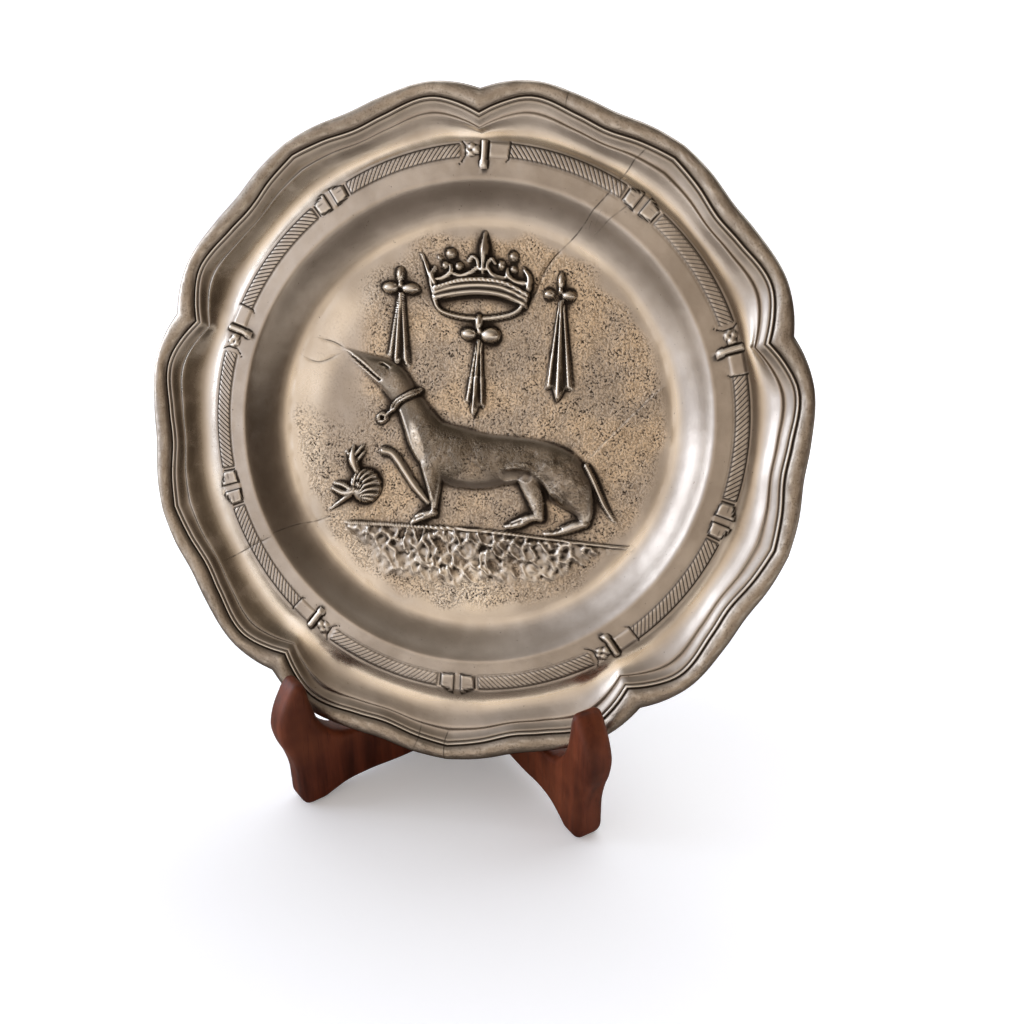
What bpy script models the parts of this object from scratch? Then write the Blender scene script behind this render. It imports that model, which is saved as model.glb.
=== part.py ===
"""Five-lobed pewter wall plate with an ermine in relief, resting in a stand of two crossed boards.

The plate is drawn lying flat, in millimetres: x to the right, y up and z towards the viewer, with z = 0
at the crest where the well meets the border. It is then tilted back and set in the notches of the
boards. A board is drawn as a side view: u runs forward from the line where the boards cross, v up.
"""

import math

import bmesh
import bpy
import numpy as np

MM = 0.001
TOUCH_GAP = 0.3                      # mm, between pieces that rest on each other

# Placing of the plate
TILT = math.radians(20.0)            # the plate leans back this far from the vertical
PLATE_CENTRE = (1.8, 5.05, 145.0)   # mm, the middle of the well's edge above the floor

# Plate: radii and heights
LOBES = 5
LOBE_TURN = 72.0                     # degrees from one notch to the next
FIRST_NOTCH = 90.0                   # degrees, the notch at the top
FLOOR = -10.0                        # height of the medallion's floor
FLOOR_RADIUS = 77.0
WELL_RADIUS = 92.5
BAND_INNER, BAND_OUTER = 99.2, 104.2
BAND_SHIFT = (0.4, 1.1)              # the ribbon's middle, off the well's centre
BAND_SHIFT_FROM = 93.0               # radius where the border starts to follow the ribbon
BASIN_START = 105.0
BASIN_DEPTH = 1.4
BASIN_COVE = [(0.3, 1.0), (0.66, 0.43)]  # share of the basin's width and of its depth
BACK_OF_FLOOR = -12.8
RIM_SHIFT = (-1.8, -1.2)             # the rim was cast a little off the well's centre

# Radius of the outer edge and of the moulding's inner step, by degrees from the nearest notch
EDGE_RADII = [(0.0, 126.0), (3.0, 127.9), (8.0, 129.8), (18.0, 128.6), (23.5, 127.8), (30.0, 129.3),
              (36.0, 130.2)]
STEP_RADII = [(0.0, 111.2), (3.0, 114.0), (8.0, 117.4), (18.0, 116.0), (23.5, 115.2), (30.0, 116.6),
              (36.0, 117.4)]
MOULDING_WIDTH = 12.8

# Front of the rim moulding: width in from the edge, height
MOULDING = [(12.6, 1.1), (11.2, 0.6), (9.0, 1.6), (7.8, 2.2), (7.1, 1.8), (6.3, 2.6), (5.4, 2.0),
            (3.2, 3.6), (0.2, 2.7)]
# Front from the floor out to the basins: radius, height
WELL_AND_BAND = [(FLOOR_RADIUS, FLOOR), (81.6, -8.9), (86.4, -5.4), (90.6, -1.3), (WELL_RADIUS, 0.0),
                 (98.4, -0.3), (BAND_INNER, 0.3), (BAND_OUTER, 0.3), (BASIN_START, -0.6)]
# Back: of the moulding by width in from the edge, then of the border and well by radius
MOULDING_BACK = [(0.5, -0.4), (5.0, -0.9), (12.0, -6.6)]
BORDER_BACK = [(104.0, -4.8), (92.5, -3.6), (78.0, BACK_OF_FLOOR)]

# Steps of the angle inside half a lobe, closer together beside the notch
HALF_LOBE_STEPS = [0.0, 1.8, 4.6, 8.2, 13.0, 18.5, 24.5, 30.5]

# Relief: x, y, half width and height above the floor, along each limb
ERMINE_BODY = [(-55.0, 27.3, 0.8, 1.6), (-50.4, 24.8, 2.3, 2.8), (-44.6, 22.0, 4.0, 3.9),
               (-39.1, 19.3, 5.6, 4.8), (-34.0, 15.8, 6.3, 5.2), (-29.8, 10.7, 6.0, 4.8),
               (-26.2, 6.0, 6.2, 5.0), (-22.6, 0.0, 7.4, 5.4), (-17.6, -7.0, 9.8, 6.0),
               (-9.0, -12.2, 12.0, 6.2), (2.0, -14.0, 11.6, 6.0), (13.0, -13.2, 9.9, 5.8),
               (25.0, -13.2, 8.9, 6.0), (35.0, -16.6, 9.0, 6.2), (41.8, -21.4, 7.0, 5.6)]
NEAR_HAUNCH = [(29.0, -16.6, 5.0, 5.8), (36.0, -20.0, 9.0, 6.8), (41.6, -25.6, 7.4, 6.2),
               (44.8, -31.0, 4.2, 5.0), (45.6, -35.4, 2.4, 4.0)]
NEAR_HIND_FOOT = [(45.6, -36.2, 1.5, 3.4), (42.0, -37.2, 2.1, 3.4), (38.0, -38.9, 1.9, 3.0),
                  (34.0, -40.3, 1.3, 2.6), (30.4, -41.1, 0.9, 2.0)]
FAR_HIND_LEG = [(23.6, -20.8, 3.6, 3.6), (25.2, -26.6, 3.2, 3.2), (27.0, -31.8, 2.6, 3.0),
                (27.8, -34.6, 1.9, 2.8)]
FAR_HIND_FOOT = [(28.0, -34.4, 1.5, 2.6), (23.6, -35.4, 1.7, 2.8), (19.6, -37.6, 1.7, 2.6),
                 (14.8, -39.4, 0.9, 1.8)]
FORELEG = [(-16.4, -17.0, 5.0, 5.0), (-15.4, -25.6, 3.2, 4.6), (-14.9, -31.6, 1.9, 4.2),
           (-15.0, -36.2, 1.5, 3.6)]
FORE_PAW = [(-14.4, -35.6, 1.4, 3.2), (-18.0, -36.9, 1.8, 3.4), (-21.0, -38.3, 1.6, 3.0),
            (-23.6, -40.4, 1.0, 2.0)]
RAISED_LEG = [(-36.8, -12.4, 1.8, 2.2), (-33.4, -13.2, 1.6, 1.7), (-30.4, -16.2, 1.7, 1.7),
              (-27.0, -20.8, 1.7, 1.7), (-22.6, -26.4, 1.6, 1.8), (-17.4, -31.8, 1.2, 1.6)]
TAIL = [(44.8, -13.4, 0.9, 2.2), (47.6, -18.2, 1.0, 2.3), (50.2, -23.4, 0.9, 2.2),
        (53.0, -28.8, 0.8, 1.8), (57.0, -34.4, 0.4, 1.0)]
COLLAR = [(-33.4, 4.8, 1.5, 2.6), (-31.0, 7.4, 1.6, 5.2), (-27.2, 9.8, 1.6, 5.9),
          (-24.6, 11.4, 1.6, 5.0), (-22.6, 12.6, 1.3, 2.4)]
COLLAR_LINK = [(-33.4, 4.2, 0.7, 2.2), (-36.0, 2.2, 0.7, 1.8)]
PENDANT = (-37.9, 0.7, 1.6, 0.7)     # centre, ring radius, thickness of the ring

# Ermine spots: top of the body, the three tips and its half width at the top
SPOTS = [((-32.5, 50.6), [(-37.2, 24.4), (-33.4, 22.3), (-27.9, 20.4)]),
         ((0.4, 33.2), [(-4.5, 8.3), (0.0, 2.9), (4.9, 6.8)]),
         ((31.7, 49.6), [(27.1, 15.0), (32.2, 10.7), (38.5, 14.9)])]
SPOT_TOP_HALF = 1.0
SPOT_HEIGHT = 2.9
# Pearls: x, y, half length, half width, height
SPOT_PEARLS = [(-37.0, 52.0, 3.4, 2.3, 2.8), (-28.9, 51.8, 3.7, 2.2, 2.8), (-33.3, 57.2, 1.6, 3.2, 2.4),
               (-4.4, 35.0, 3.2, 2.3, 2.8), (4.1, 34.8, 4.1, 3.1, 3.6), (-0.7, 39.6, 1.6, 3.4, 2.8),
               (26.3, 51.1, 2.3, 1.9, 2.6), (34.0, 50.9, 2.9, 1.9, 2.8), (30.7, 56.2, 1.4, 3.4, 2.4)]

# Coronet
CORONET_PEARLS = [(-13.1, 65.5, 2.1, 2.1, 3.0), (-15.0, 61.0, 1.5, 1.6, 2.6), (-9.6, 60.8, 1.6, 1.8, 2.8),
                  (11.8, 65.0, 1.8, 1.8, 2.8), (7.2, 61.5, 1.5, 2.0, 2.8), (11.9, 60.2, 1.3, 1.5, 2.4)]
BAND_TOP_EDGE = [(-19.6, 52.2), (-10.0, 55.3), (0.0, 56.2), (10.0, 54.9), (19.0, 50.6)]
BAND_LOW_EDGE = [(-18.9, 47.7), (-10.0, 49.4), (0.0, 50.3), (10.0, 49.0), (18.1, 45.6)]
CREST_HEIGHT = 3.4                   # the garlands stand this far above the band
CREST_DIP = 2.2                      # and sag this far between their knots
CREST_SWAGS = 6
CORONET_FOOT = [(-19.4, 49.3, 0.7, 2.0), (-16.7, 44.6, 0.8, 2.0), (-10.0, 42.0, 0.8, 1.8),
                (-1.0, 41.2, 0.7, 1.6), (7.0, 42.0, 0.8, 1.8), (13.4, 43.8, 0.8, 2.0), (17.6, 47.9, 0.8, 2.0)]
SPEAR = [(0.0, 59.0, 0.9, 2.4), (0.0, 62.6, 0.9, 2.6), (0.0, 67.6, 2.0, 3.6), (0.1, 74.2, 0.3, 1.2)]
LEFT_STRAP = [(-24.9, 65.2, 0.5, 1.6), (-21.6, 58.2, 0.7, 2.2), (-19.5, 50.6, 0.7, 2.2),
              (-17.8, 46.4, 0.6, 1.8)]
END_LEAVES = [[(-18.8, 54.0, 1.2, 2.8), (-20.3, 57.3, 1.1, 2.6), (-19.0, 60.4, 0.5, 1.8)],
              [(18.6, 53.2, 1.2, 2.8), (18.6, 57.0, 1.2, 2.6), (16.4, 60.2, 0.6, 1.8)]]

# Plant at the left
CURL = (-44.3, -27.1, 6.7, 6.9, 4.0)
PLANT_STEMS = [[(-47.4, -21.0, 1.3, 2.8), (-49.2, -16.6, 2.1, 2.8), (-49.4, -11.4, 0.5, 1.4)],
               [(-49.0, -15.6, 1.0, 2.2), (-45.4, -10.8, 0.5, 1.4)],
               [(-48.6, -29.6, 1.5, 2.8), (-52.4, -30.4, 1.4, 2.4), (-57.0, -28.9, 0.8, 1.6)],
               [(-49.8, -30.8, 1.1, 2.4), (-53.6, -33.6, 0.8, 1.8), (-58.4, -37.4, 0.4, 1.0)]]

# Rocky ground: top line, and the edge below it
GROUND_TOP = [(-54.0, -41.6), (-20.0, -41.2), (10.0, -41.2), (35.0, -42.5), (57.0, -43.5)]
GROUND_FOOT = [(-54.0, -41.8), (-47.0, -48.0), (-38.0, -56.0), (-20.0, -60.0), (0.0, -61.4), (20.0, -60.4),
               (40.0, -54.6), (50.0, -48.0), (57.0, -44.8)]
GROUND_COLUMNS, GROUND_ROWS = 23, 5
GROUND_LEDGE = 1.8
GROUND_STONES = (0.8, 2.2)           # lowest and highest stone
GROUND_SEED = 7

# Fittings drawn on the ribbon band: radial bars at the notches, clasps at the lobes' middles
BAR_HALF, BAR_HEIGHT = 0.9, 1.3
CLASP_KNOT = 6.4                     # length of the knot to each side of a clasp

SINK = 1.6                           # how far each figure reaches down into the plate

# Stand
BOARD_THICKNESS = 12.0
BOARD_TURN = math.radians(42.0)      # each board's angle from straight ahead
CROSSING = (-1.0, 15.05)             # mm, the line where the boards cross
EDGE_ROUNDING = 2.4
# Outline of a board from the front foot up over the lug; the two notches and arches differ a little
FRONT = [(84.0, 0.0), (86.8, 0.6), (88.4, 3.0), (88.9, 9.0), (89.2, 17.0), (91.0, 24.5), (93.6, 31.5),
         (94.6, 38.0), (92.8, 45.5), (89.8, 51.4), (87.6, 54.8), (85.2, 56.6), (83.0, 56.0), (81.8, 53.4),
         (80.9, 48.0)]
LEFT_NOTCH = [(80.0, 44.6), (79.0, 40.2), (77.6, 36.6), (74.8, 32.6), (71.4, 29.8), (66.0, 27.8),
              (61.6, 27.2), (58.2, 28.4), (55.4, 31.2), (52.6, 34.8)]
RIGHT_NOTCH = [(79.4, 41.0), (77.4, 35.6), (74.4, 31.2), (70.5, 28.2), (66.0, 27.4), (61.5, 28.4),
               (58.0, 31.4), (55.4, 34.4), (51.6, 36.4)]
POST_AND_BACK_FOOT = [(43.4, 41.0), (37.6, 48.0), (11.4, 102.4), (-11.6, 149.4), (-16.6, 156.6),
                      (-23.0, 159.6), (-29.6, 156.8), (-32.6, 149.0), (-29.0, 125.0), (-22.0, 92.0),
                      (-18.6, 66.0), (-22.0, 46.0), (-32.0, 31.0), (-45.0, 20.0), (-53.0, 10.0),
                      (-54.6, 3.0), (-52.0, 0.0), (-43.0, 0.0)]
LEFT_ARCH = [(-37.0, 1.8), (-20.0, 3.0), (20.0, 2.6), (44.0, 2.8), (60.0, 3.6), (69.0, 3.0), (75.0, 1.2),
             (79.0, 0.0)]
RIGHT_ARCH = [(-38.0, 3.4), (-30.0, 6.4), (-18.0, 7.6), (20.0, 7.2), (50.0, 6.6), (62.0, 7.0), (69.0, 5.6),
              (75.0, 2.4), (79.0, 0.0)]
BOARD_OUTLINES = {-1: FRONT + LEFT_NOTCH + POST_AND_BACK_FOOT + LEFT_ARCH,
                  1: FRONT + RIGHT_NOTCH + POST_AND_BACK_FOOT + RIGHT_ARCH}
HALVING_HEIGHT = 70.0                # where the two slots of the halving joint meet

PEWTER_COLOUR = (0.36, 0.33, 0.29, 1.0)
MAHOGANY_COLOUR = (0.16, 0.045, 0.022, 1.0)


def clear_scene():
    for old in list(bpy.data.objects):
        bpy.data.objects.remove(old, do_unlink=True)


def material(name, colour, roughness, metallic):
    made = bpy.data.materials.new(name)
    made.use_nodes = True
    shader = made.node_tree.nodes["Principled BSDF"]
    shader.inputs["Base Color"].default_value = colour
    shader.inputs["Roughness"].default_value = roughness
    shader.inputs["Metallic"].default_value = metallic
    return made


def smooth_curve(knots, x):
    """Value at x of a cubic through the knots (position, value ...), with the slopes of their neighbours."""
    table = np.array(knots, float)
    places, values = table[:, 0], table[:, 1:]
    slopes = np.gradient(values, places, axis=0)
    x = np.atleast_1d(np.asarray(x, float))
    left = np.clip(np.searchsorted(places, x, side="right") - 1, 0, len(places) - 2)
    step = (places[left + 1] - places[left])[:, None]
    t = ((x - places[left]) / step[:, 0])[:, None]
    return ((2 * t**3 - 3 * t**2 + 1) * values[left] + (t**3 - 2 * t**2 + t) * step * slopes[left]
            + (3 * t**2 - 2 * t**3) * values[left + 1] + (t**3 - t**2) * step * slopes[left + 1])


def mesh_object(name, points, faces, scale=MM):
    """A closed mesh object from points in millimetres, with its faces turned outwards."""
    mesh = bpy.data.meshes.new(name)
    shape = bmesh.new()
    corners = [shape.verts.new([value * scale for value in point]) for point in points]
    for face in faces:
        shape.faces.new([corners[index] for index in face])
    bmesh.ops.recalc_face_normals(shape, faces=shape.faces)
    shape.to_mesh(mesh)
    shape.free()
    made = bpy.data.objects.new(name, mesh)
    bpy.context.scene.collection.objects.link(made)
    return made


def lofted(name, rings):
    """A closed body through equal closed rings of points, with a flat cap on the first and last."""
    rings = np.asarray(rings, float)
    count, around = rings.shape[:2]
    faces = []
    for ring in range(count - 1):
        for side in range(around):
            following = (side + 1) % around
            faces.append((ring * around + side, ring * around + following,
                          (ring + 1) * around + following, (ring + 1) * around + side))
    faces.append(tuple(range(around))[::-1])
    faces.append(tuple((count - 1) * around + side for side in range(around)))
    return mesh_object(name, rings.reshape(-1, 3), faces)


# The plate's turned and lobed body

def rail_angles():
    """All angles of the plate's grid with each one's distance in degrees from the nearest notch."""
    angles, from_notch = [], []
    half = LOBE_TURN / 2
    steps = HALF_LOBE_STEPS + [half] + [LOBE_TURN - step for step in reversed(HALF_LOBE_STEPS[1:])]
    for lobe in range(LOBES):
        for step in steps:
            angles.append(math.radians(FIRST_NOTCH + lobe * LOBE_TURN + step))
            from_notch.append(min(step, LOBE_TURN - step))
    return np.array(angles), np.array(from_notch)


def plate_body():
    """The shell: rings from the middle of the front out over the edge and back to the middle."""
    angles, from_notch = rail_angles()
    edge = smooth_curve(EDGE_RADII, from_notch)[:, 0]
    step = smooth_curve(STEP_RADII, from_notch)[:, 0]
    moulding_scale = (edge - step) / MOULDING_WIDTH
    basin = 0.25 + 0.75 * np.clip(from_notch / 5.0, 0.0, 1.0)
    shift = np.array(RIM_SHIFT)

    def ring(radius, height):
        follow = np.clip((radius - BASIN_START) / (step - BASIN_START), 0.0, 1.0)
        band = np.interp(radius, [BAND_SHIFT_FROM, BAND_INNER], [0.0, 1.0]) * (1.0 - follow)
        return np.stack([radius * np.cos(angles) + shift[0] * follow + BAND_SHIFT[0] * band,
                         radius * np.sin(angles) + shift[1] * follow + BAND_SHIFT[1] * band,
                         height + 0.0 * radius], axis=1)

    around = np.ones_like(edge)
    rings = [ring(radius * around, height) for radius, height in WELL_AND_BAND]
    for part, depth in BASIN_COVE:
        radius = BASIN_START + part * (step - BASIN_START)
        rings.append(ring(radius, -0.6 - BASIN_DEPTH * depth * basin))
    rings += [ring(edge - width * moulding_scale, height) for width, height in MOULDING]
    rings += [ring(edge - width * moulding_scale, height) for width, height in MOULDING_BACK]
    rings += [ring(radius * around, height) for radius, height in BORDER_BACK]

    count, turn = len(rings), len(angles)
    points = np.concatenate(rings)
    faces = [tuple(range(turn)), tuple((count - 1) * turn + side for side in reversed(range(turn)))]
    for side in range(turn):
        following = (side + 1) % turn
        for inner in range(count - 1):
            start = inner * turn
            faces.append((start + side, start + turn + side, start + turn + following, start + following))
    return mesh_object("pewter_plate", points, faces)


# Relief figures, each a closed body that reaches down into the plate

def limb(name, stations, sections, sides=5, base=FLOOR):
    """A rounded limb: half an ellipse of the given half width and height, carried along the stations."""
    knots = [(index, *station) for index, station in enumerate(stations)]
    table = smooth_curve(knots, np.linspace(0, len(stations) - 1, sections))
    along = np.gradient(table[:, :2], axis=0)
    along /= np.linalg.norm(along, axis=1)[:, None]
    across = np.stack([-along[:, 1], along[:, 0]], axis=1)
    turn = np.linspace(0.0, math.pi, sides + 1)
    half = np.maximum(table[:, 2], 0.25)
    height = np.maximum(table[:, 3], 0.4)
    sideways = half[:, None] * np.cos(turn)[None, :]
    up = base + height[:, None] * np.sin(turn)[None, :]
    arch = np.stack([table[:, 0:1] + across[:, 0:1] * sideways,
                     table[:, 1:2] + across[:, 1:2] * sideways, up], 2)
    feet = arch[:, [-1, 0], :].copy()
    feet[:, :, 2] = base - SINK
    return lofted(name, np.concatenate([arch, feet], axis=1))


def pearl(name, x, y, half_length, half_width, height):
    """A low dome: rings of seven points that shrink towards its flat crown."""
    turn = np.arange(7) * 2 * math.pi / 7
    rings = []
    for size, rise in ((1.0, -SINK), (1.0, 0.25 * height), (0.72, 0.78 * height), (0.25, height)):
        rings.append(np.column_stack([x + size * half_length * np.cos(turn), y + size * half_width * np.sin(turn),
                                      np.full(turn.size, FLOOR + rise)]))
    return lofted(name, rings)


def spot_body(name, top, tips):
    """A pleated tail: three ridges that fan out from the top to three pointed tips."""
    lanes = np.array([-1.0, -0.62, -0.3, 0.0, 0.3, 0.62, 1.0])
    ridges = np.array([0.1, 0.62, 0.35, 1.0, 0.35, 0.62, 0.1])
    left, middle, right = np.array(tips, float)
    ends = np.array([left, left + (0.6, -0.4), (left + middle) / 2 + (0, 1.6), middle,
                     (middle + right) / 2 + (0, 1.6), right + (-0.6, -0.4), right])
    rings = []
    for part in (0.0, 0.5, 1.0):
        start = np.stack([top[0] + lanes * SPOT_TOP_HALF, np.full(lanes.size, top[1])], axis=1)
        line = start + (ends - start) * part
        height = FLOOR + SPOT_HEIGHT * ridges * (1.0 - 0.35 * part)
        front = np.column_stack([line, height])
        back = np.column_stack([line, np.full(lanes.size, FLOOR - SINK)])[::-1]
        rings.append(np.concatenate([front, back]))
    return lofted(name, rings)


def strip(name, low_edge, top_edge, heights, sections):
    """A raised strip between two edge curves: heights at its low edge, middle and top edge."""
    low = smooth_curve([(index, *point) for index, point in enumerate(low_edge)],
                       np.linspace(0, len(low_edge) - 1, sections))
    top = smooth_curve([(index, *point) for index, point in enumerate(top_edge)],
                       np.linspace(0, len(top_edge) - 1, sections))
    middle = (low + top) / 2
    layers = [(low, -SINK), (low, heights[0]), (middle, heights[1]), (top, heights[2]), (top, -SINK)]
    rings = np.stack([np.column_stack([line, np.full(sections, FLOOR + height)]) for line, height in layers],
                     axis=1)
    return lofted(name, rings)


def ring_pendant(name):
    """The ring under the collar, half sunk in the floor."""
    x, y, radius, thick = PENDANT
    around, across = 10, 5
    turn = np.arange(around) * 2 * math.pi / around
    section = np.arange(across) * 2 * math.pi / across + math.pi / 2
    reach = radius + thick * np.cos(section)[None, :]
    points = np.stack([x + reach * np.cos(turn)[:, None], y + reach * np.sin(turn)[:, None],
                       np.broadcast_to(FLOOR + 0.7 + 1.2 * np.sin(section)[None, :], (around, across))], 2)
    faces = [(i * across + j, ((i + 1) % around) * across + j, ((i + 1) % around) * across + (j + 1) % across,
              i * across + (j + 1) % across) for i in range(around) for j in range(across)]
    return mesh_object(name, points.reshape(-1, 3), faces)


def rocky_ground(name):
    """A slab whose top is a field of stones, below a level ledge that the ermine stands on."""
    chance = np.random.default_rng(GROUND_SEED)
    columns = np.linspace(0.0, 1.0, GROUND_COLUMNS)
    top = smooth_curve([(index, *point) for index, point in enumerate(GROUND_TOP)],
                       columns * (len(GROUND_TOP) - 1))
    foot = smooth_curve([(index, *point) for index, point in enumerate(GROUND_FOOT)],
                        columns * (len(GROUND_FOOT) - 1))
    rows = np.linspace(0.0, 1.0, GROUND_ROWS)[:, None, None]
    field = top[None] * (1 - rows) + foot[None] * rows
    height = chance.uniform(*GROUND_STONES, size=(GROUND_ROWS, GROUND_COLUMNS))
    height[0] = GROUND_LEDGE
    height[-1] = GROUND_STONES[0] * 0.6
    sway = chance.uniform(-0.9, 0.9, size=(GROUND_ROWS, GROUND_COLUMNS, 2))
    sway[[0, -1]] = 0.0
    sway[:, [0, -1]] = 0.0
    stones = np.concatenate([field + sway, FLOOR + height[:, :, None]], axis=2)
    under_top = np.column_stack([field[0], np.full(GROUND_COLUMNS, FLOOR - SINK)])
    under_foot = np.column_stack([field[-1], np.full(GROUND_COLUMNS, FLOOR - SINK)])
    rings = np.concatenate([under_top[None], stones, under_foot[None]]).transpose(1, 0, 2)
    return lofted(name, rings)


def band_fittings():
    """Radial bars on the ribbon at the notches, and knotted clasps at the middle of each lobe."""
    made = []
    base = 0.0
    for index in range(2 * LOBES):
        angle = math.radians(FIRST_NOTCH + index * LOBE_TURN / 2)
        outward = np.array([math.cos(angle), math.sin(angle)])
        sideways = np.array([-outward[1], outward[0]])
        bar = [(*(outward * radius + BAND_SHIFT), BAR_HALF, BAR_HEIGHT) for radius in (96.6, 105.8)]
        made.append(limb("band_bar_%d" % index, bar, 2, sides=3, base=base))
        if index % 2:
            middle = outward * (BAND_INNER + BAND_OUTER) / 2 + BAND_SHIFT
            knot = [(*(middle + sideways * offset), half, BAR_HEIGHT * rise)
                    for offset, half, rise in ((-CLASP_KNOT, 1.0, 0.5), (-2.6, 2.3, 1.0), (0.0, 1.4, 0.8),
                                               (2.6, 2.3, 1.0), (CLASP_KNOT, 1.0, 0.5))]
            made.append(limb("band_clasp_%d" % index, knot, 5, sides=4, base=base))
    return made


def relief_figures():
    made = [limb("ermine_body", ERMINE_BODY, 23, sides=7),
            limb("near_haunch", NEAR_HAUNCH, 7), limb("near_hind_foot", NEAR_HIND_FOOT, 6),
            limb("far_hind_leg", FAR_HIND_LEG, 5), limb("far_hind_foot", FAR_HIND_FOOT, 5),
            limb("foreleg", FORELEG, 6), limb("fore_paw", FORE_PAW, 5),
            limb("raised_leg", RAISED_LEG, 8), limb("tail", TAIL, 7, sides=4),
            limb("collar", COLLAR, 7, sides=4), limb("collar_link", COLLAR_LINK, 2, sides=3),
            ring_pendant("pendant"), rocky_ground("ground")]
    for index, (top, tips) in enumerate(SPOTS):
        made.append(spot_body("spot_%d" % index, top, tips))
    for index, place in enumerate(SPOT_PEARLS + CORONET_PEARLS + [CURL]):
        made.append(pearl("pearl_%d" % index, *place))
    top_knots = [(index, *point) for index, point in enumerate(BAND_TOP_EDGE)]
    crest = [(x, y + CREST_HEIGHT - CREST_DIP * abs(math.cos(part * CREST_SWAGS * math.pi)))
             for part in np.linspace(0, 1, 2 * CREST_SWAGS + 1)
             for x, y in smooth_curve(top_knots, [part * (len(BAND_TOP_EDGE) - 1)])]
    made.append(strip("coronet_crest", [(x, y - 0.8) for x, y in BAND_TOP_EDGE], crest, (2.0, 1.8, 1.3),
                      2 * CREST_SWAGS + 1))
    made.append(strip("coronet_band", BAND_LOW_EDGE, BAND_TOP_EDGE, (2.6, 3.6, 3.2), 12))
    made.append(limb("coronet_foot", CORONET_FOOT, 14, sides=3))
    made.append(limb("spear", SPEAR, 6, sides=4))
    made.append(limb("left_strap", LEFT_STRAP, 4, sides=3))
    for index, leaf in enumerate(END_LEAVES):
        made.append(limb("end_leaf_%d" % index, leaf, 4, sides=4))
    for index, stem in enumerate(PLANT_STEMS):
        made.append(limb("plant_%d" % index, stem, 5, sides=4))
    return made + band_fittings()


def pewter_plate():
    """The whole casting: the shell with every figure joined to it, tilted back into its place."""
    plate = plate_body()
    figures = bpy.data.collections.new("relief figures")
    bpy.context.scene.collection.children.link(figures)
    placing = ((math.pi / 2 - TILT, 0.0, 0.0), [value * MM for value in PLATE_CENTRE])
    for figure in relief_figures():
        bpy.context.scene.collection.objects.unlink(figure)
        figures.objects.link(figure)
        figure.hide_render = True
        figure.display_type = "WIRE"
        figure.rotation_euler, figure.location = placing
    plate.rotation_euler, plate.location = placing
    join = plate.modifiers.new("join the relief", "BOOLEAN")
    join.operation = "UNION"
    join.operand_type = "COLLECTION"
    join.collection = figures
    join.solver = "EXACT"
    plate.data.materials.append(material("pewter", PEWTER_COLOUR, 0.42, 1.0))
    return plate


# The stand

def board_frame(side):
    """Unit directions of a board on the floor: forward along it, and out of its inner face."""
    forward = np.array([side * math.sin(BOARD_TURN), -math.cos(BOARD_TURN)])
    inward = np.array([-side * math.cos(BOARD_TURN), -math.sin(BOARD_TURN)])
    return forward, inward


def upright_prism(name, side, outline, half_thickness):
    """An outline of (u, v) points made solid to both sides of the board's middle plane."""
    forward, inward = board_frame(side)
    points = []
    for offset in (half_thickness, -half_thickness):
        for u, v in outline:
            x, y = np.array(CROSSING) + forward * u + inward * offset
            points.append((x, y, v))
    count = len(outline)
    faces = [tuple(range(count)), tuple(range(2 * count - 1, count - 1, -1))]
    faces += [(i, (i + 1) % count, count + (i + 1) % count, count + i) for i in range(count)]
    return mesh_object(name, points, faces)


def stand_board(name, side):
    """One board: lug, notch for the rim, post behind the plate and two feet, slotted for the other board."""
    board = upright_prism(name, side, BOARD_OUTLINES[side], BOARD_THICKNESS / 2)
    rounding = board.modifiers.new("rounded edges", "BEVEL")
    rounding.width = EDGE_ROUNDING * MM
    rounding.segments = 2
    rounding.limit_method = "ANGLE"
    rounding.angle_limit = math.radians(50.0)
    low, high = (-10.0, HALVING_HEIGHT + TOUCH_GAP / 2) if side > 0 else (HALVING_HEIGHT - TOUCH_GAP / 2, 200.0)
    reach = 40.0
    slot = upright_prism(name + "_slot", -side, [(-reach, low), (reach, low), (reach, high), (-reach, high)],
                         BOARD_THICKNESS / 2 + TOUCH_GAP)
    slot.hide_render = True
    slot.display_type = "WIRE"
    cut = board.modifiers.new("halving slot", "BOOLEAN")
    cut.operation = "DIFFERENCE"
    cut.object = slot
    cut.solver = "EXACT"
    board.data.materials.append(material("mahogany_" + name, MAHOGANY_COLOUR, 0.38, 0.0))
    return board


clear_scene()
pewter_plate()
stand_board("stand_left_board", -1)
stand_board("stand_right_board", 1)
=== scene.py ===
# %% [markdown]
# # A pewter wall plate on its stand
# The plate is one casting of pewter: a lobed dish with a moulded rim, a band like a plaited ribbon,
# and an ermine in relief. It leans in a stand made of two crossed mahogany boards.
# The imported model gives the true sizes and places. This lesson dresses it: the plate gets one fine
# mesh whose front is a sum of height functions, and the boards get smooth rounded ones.
# Lengths are in millimetres and are turned into metres when a mesh is made.

# %% Load the frame
import math

import bmesh
import bpy
import numpy as np
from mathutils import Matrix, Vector


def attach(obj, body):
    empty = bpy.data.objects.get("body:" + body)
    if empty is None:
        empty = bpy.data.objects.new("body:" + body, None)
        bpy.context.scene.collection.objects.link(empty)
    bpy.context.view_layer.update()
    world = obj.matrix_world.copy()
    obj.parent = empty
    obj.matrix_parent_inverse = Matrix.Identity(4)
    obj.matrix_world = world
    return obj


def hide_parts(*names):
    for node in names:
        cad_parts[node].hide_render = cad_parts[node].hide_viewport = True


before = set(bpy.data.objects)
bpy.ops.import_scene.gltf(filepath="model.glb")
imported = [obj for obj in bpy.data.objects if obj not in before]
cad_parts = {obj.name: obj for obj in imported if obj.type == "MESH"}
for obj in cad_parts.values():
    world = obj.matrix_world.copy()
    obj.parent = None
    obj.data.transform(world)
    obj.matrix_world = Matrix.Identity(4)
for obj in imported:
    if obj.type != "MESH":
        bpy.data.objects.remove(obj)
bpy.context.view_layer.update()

MM = 0.001
print("nodes:", sorted(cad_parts))

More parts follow.
